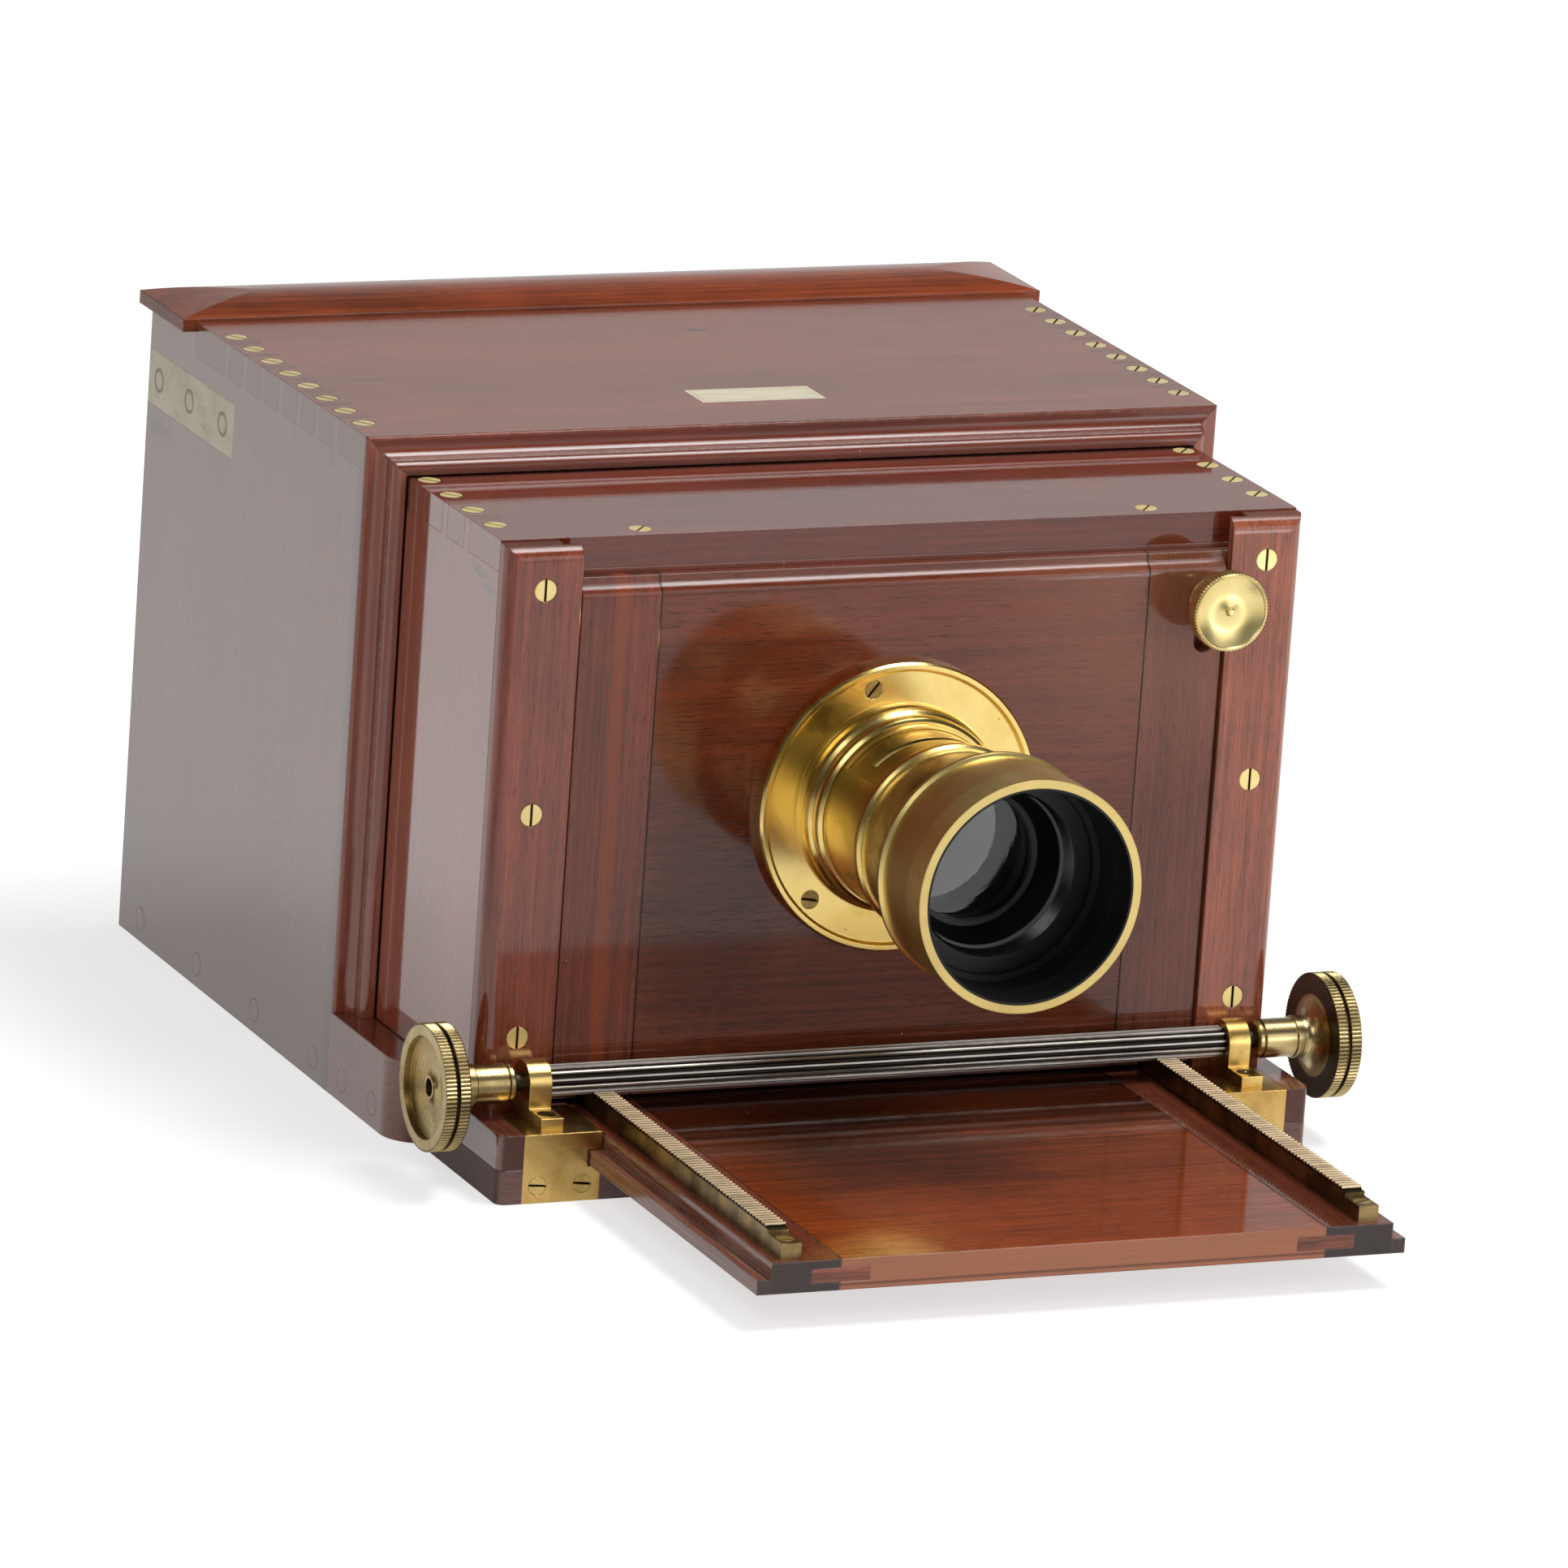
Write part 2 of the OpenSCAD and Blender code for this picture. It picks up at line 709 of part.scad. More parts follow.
// Tailboard: stepped edges, a clamp along each side and a loose spline in each joint
module board_section(x0, x1) {
    along_y(board_front, board_back - board_front) intersection() {
        union() {
            translate([-board_half, board_under]) square([board_w, board_t]);
            translate([-tongue_half, board_under]) square([2 * tongue_half, tongue_t]);
        }
        translate([x0, board_under]) square([x1 - x0, board_t]);
    }
}

module spline_block(side, gap) {
    on_side(side)
        block([board_join - spline_w / 2, board_front - gap, spline_z],
              [board_join + spline_w / 2, board_back, spline_z + spline_t]);
}

module rack_screw_holes() {
    at_rack_screws() screw_hole(small_screw_r, small_screw_l);
}

module tailboard() {
    color(mahogany) difference() {
        board_section(-board_join, board_join);
        for (s = [-1, 1]) spline_block(s, cut);
    }
}

module tailboard_clamp(side) {
    color(mahogany) difference() {
        on_side(side) board_section(board_join, tongue_half);
        spline_block(side, cut);
        rack_screw_holes();
    }
}
module tailboard_clamp_left() { tailboard_clamp(-1); }
module tailboard_clamp_right() { tailboard_clamp(1); }

module tailboard_splines() {
    color(mahogany_dark) for (s = [-1, 1]) spline_block(s, 0);
}

// Racks: a tooth stands under the pinion's axis, and a plain block ends each rack
rack_flank = tan(20);
tooth_first = -floor((pinion_y - rack_front - rack_block_l - tooth_pitch) / tooth_pitch);
tooth_last = floor((rack_back - tooth_pitch / 2 - pinion_y) / tooth_pitch);
function rack_tooth(k) =
    let (c = pinion_y + k * tooth_pitch,
         tip = tooth_w / 2 - rack_add * rack_flank,
         root = tooth_w / 2 + (rack_tip - rack_add - rack_root) * rack_flank)
    [[c - root, rack_root], [c - tip, rack_tip], [c + tip, rack_tip], [c + root, rack_root]];
function rack_teeth() = [for (k = [tooth_first : tooth_last], p = rack_tooth(k)) p];

module rack(side) {
    color(brass_old) difference() {
        on_side(side) along_x(rack_in, rack_w)
            polygon(concat(
                [[rack_front, board_top], [rack_front, board_top + rack_block_h],
                 [rack_front + rack_block_l, board_top + rack_block_h], [rack_front + rack_block_l, rack_root]],
                rack_teeth(), [[rack_back, rack_root], [rack_back, board_top]]));
        rack_screw_holes();
    }
}
module rack_left() { rack(-1); }
module rack_right() { rack(1); }

module rack_screws() {
    color(brass) at_rack_screws() screw(small_screw_r, small_screw_l, 20);
}

// Focusing screen: a frame that drops in from above, with its cap and its glass
module screen_frame() {
    color(mahogany_dark) difference() {
        window_frame(screen_y, screen_t, screen_half, screen_under, cap_seat, view_w, view_h);
        block([-view_w / 2 - glass_edge, screen_y - cut, view_z - view_h / 2 - glass_edge],
              [view_w / 2 + glass_edge, screen_y + glass_t, view_z + view_h / 2 + glass_edge]);
    }
}

module ground_glass() {
    inset = glass_edge - 0.2;
    color(glass_tint)
        block([-view_w / 2 - inset, screen_y, view_z - view_h / 2 - inset],
              [view_w / 2 + inset, screen_y + glass_t - 0.1, view_z + view_h / 2 + inset]);
}

// Radius of an arc that rises by h over a half chord w
function crown_r(w, h) = (w * w + h * h) / (2 * h);
hip_w = 26;
module screen_cap() {
    cap_half = half_w + cap_over;
    cap_top = cap_seat + cap_edge + cap_crown;
    deep = crown_r(cap_d / 2, cap_crown);
    hip = crown_r(hip_w, cap_crown);
    color(mahogany_red) intersection() {
        along_x(-cap_half, 2 * cap_half) intersection() {
            translate([cap_y, cap_seat]) square([cap_d, cap_edge + cap_crown]);
            translate([cap_y + cap_d / 2, cap_top - deep]) circle(deep, $fn = 200);
        }
        along_y(cap_y - cut, cap_d + 2 * cut) union() {
            translate([-cap_half + hip_w, cap_seat]) square([2 * (cap_half - hip_w), cap_edge + cap_crown]);
            for (m = [0, 1]) mirror([m, 0]) intersection() {
                translate([cap_half - hip_w, cap_seat]) square([hip_w, cap_edge + cap_crown]);
                translate([cap_half - hip_w, cap_top - hip]) circle(hip, $fn = 400);
            }
        }
    }
}

// Front box
module front_top() {
    color(mahogany) difference() {
        block([-front_half, wall_y, front_top_under], [front_half, front_back, front_h]);
        for (m = [0, 1]) mirror([m, 0, 0]) front_pins();
        at_front_top_screws() screw_hole(screw_r, screw_l);
    }
}

module front_side(side) {
    foot_y = wall_y + 16;
    color(mahogany) on_side(side) difference() {
        union() {
            along_x(front_half - front_side_t, front_side_t)
                polygon([[wall_y, fbase_h], [foot_y, fbase_h], [foot_y, side_under], [front_back, side_under],
                         [front_back, front_top_under], [wall_y, front_top_under]]);
            front_pins();
        }
        at_front_top_screws() screw_hole(screw_r, screw_l);
    }
}
module front_side_left() { front_side(-1); }
module front_side_right() { front_side(1); }

module front_floor() {
    color(mahogany_dark) block([-front_in, wall_y + wall_t, floor_z], [front_in, front_back, floor_z + floor_t]);
}

// Clearance for the racks under anything that passes over them
module rack_notches(y0, y1) {
    for (m = [0, 1])
        mirror([m, 0, 0])
            block([rack_in - notch_gap, y0 - cut, 0], [rack_in + rack_w + notch_gap, y1 + cut, notch_top]);
}

module front_wall() {
    open_half = 32;
    color(mahogany_dark) difference() {
        block([-front_in, wall_y, fbase_h], [front_in, wall_y + wall_t, front_top_under]);
        block([-open_half, wall_y - cut, lens_z - open_half],
              [open_half, wall_y + wall_t + cut, lens_z + rise + open_half]);
        rack_notches(wall_y, wall_y + wall_t);
        at_front_top_screws() screw_hole(screw_r, screw_l);
        at_cheek_screws() screw_hole(screw_r, screw_l);
        translate([knob_mid, wall_y, knob_z]) face_front() nut_shape(screw_gap, cut);
    }
}

// Cheeks: rounded on the outside and at the top, rebated behind for the panel's tongues
cheek_h = front_h - 0.5;
module cheek(side) {
    color(mahogany) on_side(side) difference() {
        intersection() {
            translate([0, 0, fbase_h]) linear_extrude(cheek_h - fbase_h) difference() {
                translate([cheek_in, -front_reach]) square([cheek_w, cheek_t]);
                translate([front_half, -front_reach]) mirror([1, 0]) corner_waste(cheek_round);
            }
            along_x(cheek_in - cut, cheek_w + 2 * cut) difference() {
                translate([-front_reach, fbase_h]) square([cheek_t, cheek_h - fbase_h]);
                translate([-front_reach, cheek_h]) mirror([0, 1]) corner_waste(cheek_round);
            }
        }
        block([cheek_in - cut, tongue_face - 0.3, fbase_h - cut],
              [panel_tongue_half + 0.4, wall_y + cut, cheek_h + cut]);
        at_cheek_screws() screw_hole(screw_r, screw_l);
    }
}
module cheek_left() { cheek(-1); }
module cheek_right() { cheek(1); }

module cheek_screws() {
    color(brass) at_cheek_screws() screw(screw_r, screw_l, 90);
}

module front_top_screws() {
    color(brass) at_front_top_screws() screw(screw_r, screw_l, 50);
}

// Front base: a plate below the tailboard and a grooved rail on each side of it
module fbase_outline() {
    nosed_outline(fbase_half, fbase_front, fbase_back, fbase_corner_r);
}

module plate_recess(side_over, over) {
    for (m = [0, 1]) mirror([m, 0, 0]) {
        block([plate_in - side_over, fbase_front - over, -over],
              [plate_out, fbase_front + inlay_t, fbase_h + over]);
        block([plate_in - side_over, fbase_front - over, fbase_h - inlay_t],
              [plate_out, -front_reach, fbase_h + over]);
    }
}

module front_base_plate() {
    color(mahogany_dark) difference() {
        linear_extrude(fplate_t) fbase_outline();
        plate_recess(0, cut);
        at_plate_screws() screw_hole(small_screw_r, small_screw_l);
    }
}

module rail_section() {
    polygon([[groove_half, fplate_t], [fbase_half, fplate_t], [fbase_half, fbase_h], [channel_half, fbase_h],
             [channel_half, tongue_top + board_gap], [groove_half, tongue_top + board_gap]]);
}

module front_base_rail(side) {
    color(mahogany) on_side(side) difference() {
        intersection() {
            along_y(fbase_front, fbase_l) rail_section();
            linear_extrude(fbase_h) fbase_outline();
        }
        plate_recess(cut, cut);
        at_foot_screws() screw_hole(small_screw_r, small_screw_l);
    }
}
module front_base_rail_left() { front_base_rail(-1); }
module front_base_rail_right() { front_base_rail(1); }

// Brass angle let into the front corner of the base, cut away round the tailboard's tongue
module corner_plate(side) {
    color(brass) on_side(side) difference() {
        intersection() {
            plate_recess(0, 0);
            block([0, fbase_front, 0], [plate_out, -front_reach, fbase_h]);
        }
        block([0, fbase_front - cut, fplate_t], [groove_half, fbase_front + inlay_t, tongue_top + board_gap]);
        at_plate_screws() screw_hole(small_screw_r, small_screw_l);
        at_foot_screws() screw_hole(small_screw_r, small_screw_l);
    }
}
module corner_plate_left() { corner_plate(-1); }
module corner_plate_right() { corner_plate(1); }

module brass_plate_screws() {
    color(brass) {
        at_plate_screws() screw(small_screw_r, small_screw_l, 5);
        at_foot_screws() screw(small_screw_r, small_screw_l, 60);
    }
}

// Bracket: a ring on a pillar, with a foot that runs forward along the plate
module pinion_bracket(side) {
    color(brass) on_side(side) difference() {
        along_x(bracket_mid - bracket_t / 2, bracket_t) union() {
            translate([pinion_y, pinion_z]) circle(bracket_r);
            translate([pinion_y - bracket_r, fbase_h]) square([2 * bracket_r, pinion_z - fbase_h]);
            translate([pinion_y - bracket_r - foot_l, fbase_h]) square([foot_l + cut, foot_t]);
        }
        translate([bracket_mid - bracket_t, pinion_y, pinion_z]) face_right()
            cylinder(r = journal_r + journal_gap, h = 2 * bracket_t);
        at_foot_screws() screw_hole(small_screw_r, small_screw_l);
    }
}
module pinion_bracket_left() { pinion_bracket(-1); }
module pinion_bracket_right() { pinion_bracket(1); }

// Pinion: leaves cut the whole way between the brackets, plain journals beyond them
leaf_flank = tan(20);
function leaf_half(r) = tooth_w / 2 + (pitch_r - r) * leaf_flank;
function leaf_point(k, r, s) =
    let (a = 360 * (k + 0.5) / leaves + s * asin(leaf_half(r) / r))
    [r * sin(a), -r * cos(a)];
function leaf(k) = [leaf_point(k, leaf_root_r, -1), leaf_point(k, pitch_r, -1), leaf_point(k, leaf_tip_r, -1),
                    leaf_point(k, leaf_tip_r, 1), leaf_point(k, pitch_r, 1), leaf_point(k, leaf_root_r, 1)];
module pinion_shaft() {
    color(steel) translate([0, pinion_y, pinion_z]) {
        along_x(-shaft_half, 2 * shaft_half) polygon([for (k = [0 : leaves - 1], p = leaf(k)) p]);
        for (m = [0, 1]) mirror([m, 0, 0]) translate([shaft_half - cut, 0, 0]) face_right()
            cylinder(r = journal_r, h = head_front - dish_t - 1.2 - shaft_half + cut);
    }
}

// Section of a milled head without its knurls, x measured out from the middle of the camera
core_r = head_r - 0.5;
function bell_points() = [for (a = [0 : 10 : 90])
    [neck_r + 0.4 + (10 - neck_r - 0.4) * (1 - cos(a)), bell_x + 2.2 + (bell_l - 2.2) * sin(a)]];
dish_floor_r = hub_r + 2.6;
function dish_points() = [for (a = [0 : 10 : 90])
    [core_r - 0.5 - (core_r - 0.5 - dish_floor_r) * (1 - cos(a)), head_front - dish_t * sin(a)]];
function hub_points() = [for (a = [0 : 15 : 90])
    [dish_floor_r - 0.2 - (dish_floor_r - 0.2 - hub_r) * sin(a), head_front - dish_t + (hub_h - 0.2) * (1 - cos(a))]];
module milled_head(side) {
    on_side(side) color(brass_old) translate([0, pinion_y, pinion_z]) face_right() difference() {
        union() {
            rotate_extrude() polygon(concat(
                [[0, collar_x], [neck_r - 0.7, collar_x], [neck_r - 0.2, collar_x + 0.5],
                 [neck_r - 0.2, collar_x + collar_l - 0.5], [neck_r - 0.8, collar_x + collar_l - 0.3],
                 [neck_r - 0.8, collar_x + collar_l], [neck_r, collar_x + collar_l], [neck_r, bell_x],
                 [neck_r + 0.4, bell_x + 0.3], [neck_r + 0.4, bell_x + 2.2]],
                bell_points(),
                [[core_r, head_back], [core_r, head_back + band_w], [core_r - 1.2, head_back + band_w],
                 [core_r - 1.2, head_back + band_w + band_gap], [core_r, head_back + band_w + band_gap],
                 [core_r, head_front]],
                dish_points(), hub_points(), [[hub_r, head_front - dish_t + hub_h], [0, head_front - dish_t + hub_h]]));
            for (z = [head_back, head_back + band_w + band_gap]) knurled_band(head_r, band_w, knurls, z, 3);
        }
        translate([0, 0, collar_x - cut]) cylinder(r = journal_r + 0.02, h = head_front);
    }
}
module milled_head_left() { milled_head(-1); }
module milled_head_right() { milled_head(1); }

// A knurled ring of outer radius r and radial depth t
module knurled_band(r, w, count, z, t) {
    translate([0, 0, z]) linear_extrude(w) difference() {
        polygon([for (k = [0 : 2 * count - 1])
            let (q = k % 2 == 0 ? r : r - 0.38, a = 180 * k / count) [q * cos(a), q * sin(a)]]);
        circle(r - t);
    }
}

// Lens panel: a wide board with a clamp across the grain at each end
module panel_outline(x0, x1) {
    intersection() {
        translate([0, 0, panel_under]) linear_extrude(panel_h + panel_lift) union() {
            translate([x0, panel_face]) square([min(x1, panel_half) - x0, panel_t]);
            translate([x0, tongue_face]) square([x1 - x0, panel_tongue_t]);
        }
        along_x(x0 - cut, x1 - x0 + 2 * cut) union() {
            difference() {
                translate([panel_face, panel_under]) square([panel_t, panel_h]);
                translate([panel_face, panel_top]) mirror([0, 1]) corner_waste(panel_round);
            }
            translate([tongue_face, panel_under]) square([panel_tongue_t, panel_h + panel_lift]);
        }
    }
}

module lens_panel() {
    color(mahogany) difference() {
        intersection() {
            panel_outline(-panel_join, panel_tongue_half);
            block([-panel_join, panel_face - cut, 0], [panel_join, panel_back + cut, box_h + rise]);
        }
        translate([0, panel_back + cut, lens_z]) face_front() cylinder(r = barrel_r + 1.6, h = panel_t + 2 * cut);
        at_flange_screws() screw_hole(small_screw_r, small_screw_l);
    }
}

module panel_clamp(side) {
    color(mahogany_dark) difference() {
        on_side(side) panel_outline(panel_join, panel_tongue_half);
        rack_notches(panel_face, panel_back);
        if (side > 0) clamp_slot();
    }
}
module panel_clamp_left() { panel_clamp(-1); }
module panel_clamp_right() { panel_clamp(1); }

// The clamp screw stands at the top of its slot, so the panel can rise until it meets the bottom
module clamp_slot() {
    along_y(panel_face - cut, panel_t + 2 * cut) union() {
        for (z = [knob_z - rise - 0.3, knob_z]) translate([knob_mid, z]) circle(slot_r, $fn = 48);
        translate([knob_mid - slot_r, knob_z - rise - 0.3]) square([2 * slot_r, rise + 0.3]);
    }
}

// Brass nut let into the wall, flush with its front
module nut_shape(gap, over) {
    translate([0, 0, -5]) cylinder(r = 5.5 + gap, h = 5 + over);
}
module clamp_nut() {
    color(brass) translate([knob_mid, wall_y, knob_z]) face_front() difference() {
        nut_shape(0, 0);
        translate([0, 0, -4]) cylinder(r = clamp_screw_r + journal_gap, h = 4 + cut);
    }
}

// Clamp knob: screw, shouldered stem and a dished milled head, with s forward from the panel
module clamp_knob() {
    rim_s = knob_stand;
    back_s = knob_stand - knob_t;
    in_r = knob_r - 0.4;
    low_s = rim_s - 0.3 - knob_dish_t;
    hollow = [for (t = [0 : 0.1 : 1])
        [in_r - 0.7 - t * (in_r - 0.7 - 4.2), rim_s - 0.3 - knob_dish_t * sin(90 * t)]];
    mound = [for (t = [0.2 : 0.2 : 1]) [4.2 - 3 * t, low_s + 0.7 * (1 - cos(90 * t))]];
    color(brass) translate([knob_mid, panel_face, knob_z]) face_front() {
        rotate_extrude() polygon(concat([
            [0, -(wall_y - panel_face) - 3.5], [clamp_screw_r, -(wall_y - panel_face) - 3.5],
            [clamp_screw_r, 0.3], [5.2, 0.3], [5.2, 1.3], [3.6, 1.7], [3.2, 3], [3.2, back_s - 1.6],
            [4.4, back_s], [in_r, back_s], [in_r, rim_s - 0.2], [in_r - 0.4, rim_s]],
            hollow, mound,
            [[1.1, low_s + 0.9], [1.1, low_s + 1.4], [0.7, low_s + 1.7], [0, low_s + 1.8]]));
        knurled_band(knob_r, knob_t - 0.6, 72, back_s + 0.2, 0.9);
    }
}

// Turned lens parts, drawn as (radius, s) outlines with s forward from the flange's face
module turned() {
    translate([0, flange_face, lens_z]) face_front() rotate_extrude($fn = 128) children();
}

module lens_flange() {
    color(brass) difference() {
        turned() polygon([
            [barrel_r + 0.05, -flange_t], [flange_r, -flange_t], [flange_r, 0.2], [flange_r - 0.5, 0.9],
            [flange_r - 1.6, 0.9], [flange_r - 2.3, 0], [boss_r, 0], [boss_r, boss_h - 6.8],
            [boss_r - 0.3, boss_h - 5.6], [boss_r - 0.8, boss_h - 4.6], [boss_r - 1.6, boss_h - 3.8],
            [boss_r - 1.8, boss_h - 3.4], [boss_r - 1.3, boss_h - 2.8], [boss_r - 1.3, boss_h - 1.6],
            [boss_r - 1.7, boss_h - 0.6], [boss_r - 2.5, boss_h], [barrel_r + 0.05, boss_h]]);
        at_flange_screws() screw_hole(small_screw_r, small_screw_l);
    }
}

module flange_screws() {
    color(brass_old) at_flange_screws() screw(small_screw_r, small_screw_l, 35);
}

// Barrel with the slot for drop-in stops, the stop ring and the seats of both glasses
slot_w = 2.4;
slot_half = 15.5;
slot_floor = 4;
slot_s = 17.5;
front_glass_s = 41;
rear_glass_s = -flange_t - 9;
glass_l = 5;
glass_bulge = 0.9;
module lens_barrel() {
    back_s = rear_glass_s - glass_l - 3;
    color(brass) difference() {
        turned() polygon([
            [bore_r, back_s], [barrel_r, back_s], [barrel_r, ring_s], [ring_r - 0.7, ring_s],
            [ring_r, ring_s + 0.7], [ring_r, ring_s + ring_w - 1.4], [ring_r - 0.7, ring_s + ring_w - 0.7],
            [neck_s_r, ring_s + ring_w - 0.5], [neck_s_r, ring_s + ring_w], [nose_r, hood_start - 0.9],
            [nose_seat, hood_start - 0.9], [nose_seat, hood_start + 5], [bore_r, hood_start + 5],
            [bore_r, hood_start - 1], [bore_r - 1, hood_start - 1.5], [glass_r + 0.8, hood_start - 8],
            [glass_r + 0.8, hood_start - 9], [glass_r - 0.6, hood_start - 9.4],
            [glass_r - 0.6, front_glass_s + 2.4], [bore_r, front_glass_s + 2.4]]);
        translate([-slot_half, flange_face - slot_s - slot_w, lens_z + slot_floor])
            cube([2 * slot_half, slot_w, barrel_r]);
    }
}

// Hood: thin rear bead, plain body, flat bright rim
module lens_hood() {
    s1 = hood_start + hood_l;
    bore = hood_r - hood_wall;
    color(brass_old) turned() polygon([
        [hood_seat, hood_start - 0.9], [hood_r - 0.9, hood_start - 0.9], [hood_r + 0.1, hood_start],
        [hood_r + 0.1, hood_start + 1.1], [hood_r - 0.8, hood_start + 1.7], [hood_r, s1 - 8], [hood_r, s1],
        [bore, s1], [bore, hood_start + 7], [hood_seat, hood_start + 7]]);
}

// Glasses: bulged on the outside, flat within
function bulge(r, h, s) = [for (a = [0 : 0.1 : 1]) [r * (1 - a), s + h * (1 - pow(1 - a, 2))]];
module front_lens() {
    color(glass_tint) turned()
        polygon(concat([[0, front_glass_s - glass_l], [bore_r - 0.1, front_glass_s - glass_l],
                        [bore_r - 0.1, front_glass_s + 2.3], [glass_r - 0.7, front_glass_s + 2.3]],
                       bulge(glass_r - 0.7, glass_bulge, front_glass_s + 2.3)));
}

module rear_lens() {
    color(glass_tint) turned()
        polygon(concat([[0, rear_glass_s], [bore_r - 0.1, rear_glass_s], [bore_r - 0.1, rear_glass_s - glass_l]],
                       bulge(bore_r - 0.1, -glass_bulge, rear_glass_s - glass_l)));
}

// Sleeve that turns on the barrel and uncovers the stop slot
module stop_sleeve() {
    from = boss_h + 0.3;
    to = ring_s - 0.3;
    reach = 3 * sleeve_r;
    color(brass) difference() {
        turned() polygon([[sleeve_r, from], [sleeve_r + sleeve_t, from], [sleeve_r + sleeve_t, to], [sleeve_r, to]]);
        translate([0, flange_face - from - 1.6, lens_z]) face_front() linear_extrude(to - from - 3.2)
            polygon([[0, 0], [-reach * sin(window_angle / 2), reach * cos(window_angle / 2)], [-reach, reach * 1.5],
                     [reach, reach * 1.5], [reach * sin(window_angle / 2), reach * cos(window_angle / 2)]]);
    }
}

rear_side_left();
rear_side_right();
rear_top();
rear_baseboard();
base_lipping_left();
base_lipping_right();
mouth_moulding_top();
mouth_moulding_left();
mouth_moulding_right();
screen_stop();
rear_frame();
strap_left();
strap_right();
strap_screws();
rear_top_screws();
side_pellets();
inlaid_plaque();
tripod_bush();
tailboard();
tailboard_clamp_left();
tailboard_clamp_right();
tailboard_splines();
rack_left();
rack_right();
rack_screws();
screen_frame();
screen_cap();
ground_glass();
front_top();
front_side_left();
front_side_right();
front_floor();
front_wall();
cheek_left();
cheek_right();
cheek_screws();
front_top_screws();
front_base_plate();
front_base_rail_left();
front_base_rail_right();
corner_plate_left();
corner_plate_right();
brass_plate_screws();
pinion_bracket_left();
pinion_bracket_right();
clamp_nut();
pinion_shaft();
milled_head_left();
milled_head_right();
lens_panel();
panel_clamp_left();
panel_clamp_right();
lens_flange();
flange_screws();
lens_barrel();
lens_hood();
front_lens();
rear_lens();
stop_sleeve();
clamp_knob();
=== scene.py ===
# %% [markdown]
# # A sliding box camera in mahogany and brass
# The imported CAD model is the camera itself: every board, screw and turned part already has its
# true size and its place. This lesson gives it the looks of the real one: polished mahogany,
# lacquered brass that has browned with age, a fluted steel pinion and old glass.

# %% Load the frame
import math
import bpy
import bmesh
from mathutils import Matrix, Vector


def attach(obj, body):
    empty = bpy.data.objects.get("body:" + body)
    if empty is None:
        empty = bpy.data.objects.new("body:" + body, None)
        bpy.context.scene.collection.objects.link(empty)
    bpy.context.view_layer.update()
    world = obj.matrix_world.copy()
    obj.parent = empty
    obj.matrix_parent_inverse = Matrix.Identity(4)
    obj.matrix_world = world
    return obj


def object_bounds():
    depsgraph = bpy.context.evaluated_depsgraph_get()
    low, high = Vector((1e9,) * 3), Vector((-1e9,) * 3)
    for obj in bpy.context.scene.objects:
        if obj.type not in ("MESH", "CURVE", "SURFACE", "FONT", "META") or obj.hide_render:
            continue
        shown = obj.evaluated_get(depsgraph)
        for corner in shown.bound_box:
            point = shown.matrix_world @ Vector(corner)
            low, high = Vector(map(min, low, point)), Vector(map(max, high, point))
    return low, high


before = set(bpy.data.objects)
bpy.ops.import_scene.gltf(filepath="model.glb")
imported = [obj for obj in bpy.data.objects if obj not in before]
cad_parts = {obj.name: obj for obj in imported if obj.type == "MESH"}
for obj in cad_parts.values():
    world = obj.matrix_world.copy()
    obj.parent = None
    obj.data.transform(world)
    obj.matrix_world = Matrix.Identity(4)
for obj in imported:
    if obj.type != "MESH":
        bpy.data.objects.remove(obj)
cad_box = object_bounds()
lowest, highest = (Vector(corner) for corner in cad_box)
MM = 0.001
print("nodes", len(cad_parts), "CAD box", [round(v, 4) for v in highest - lowest])

# %% [markdown]
# A material is a small network of nodes. Typing each node and each link by hand is long, so one
# helper adds a node, sets its options and plugs its inputs, whether they are numbers or wires.

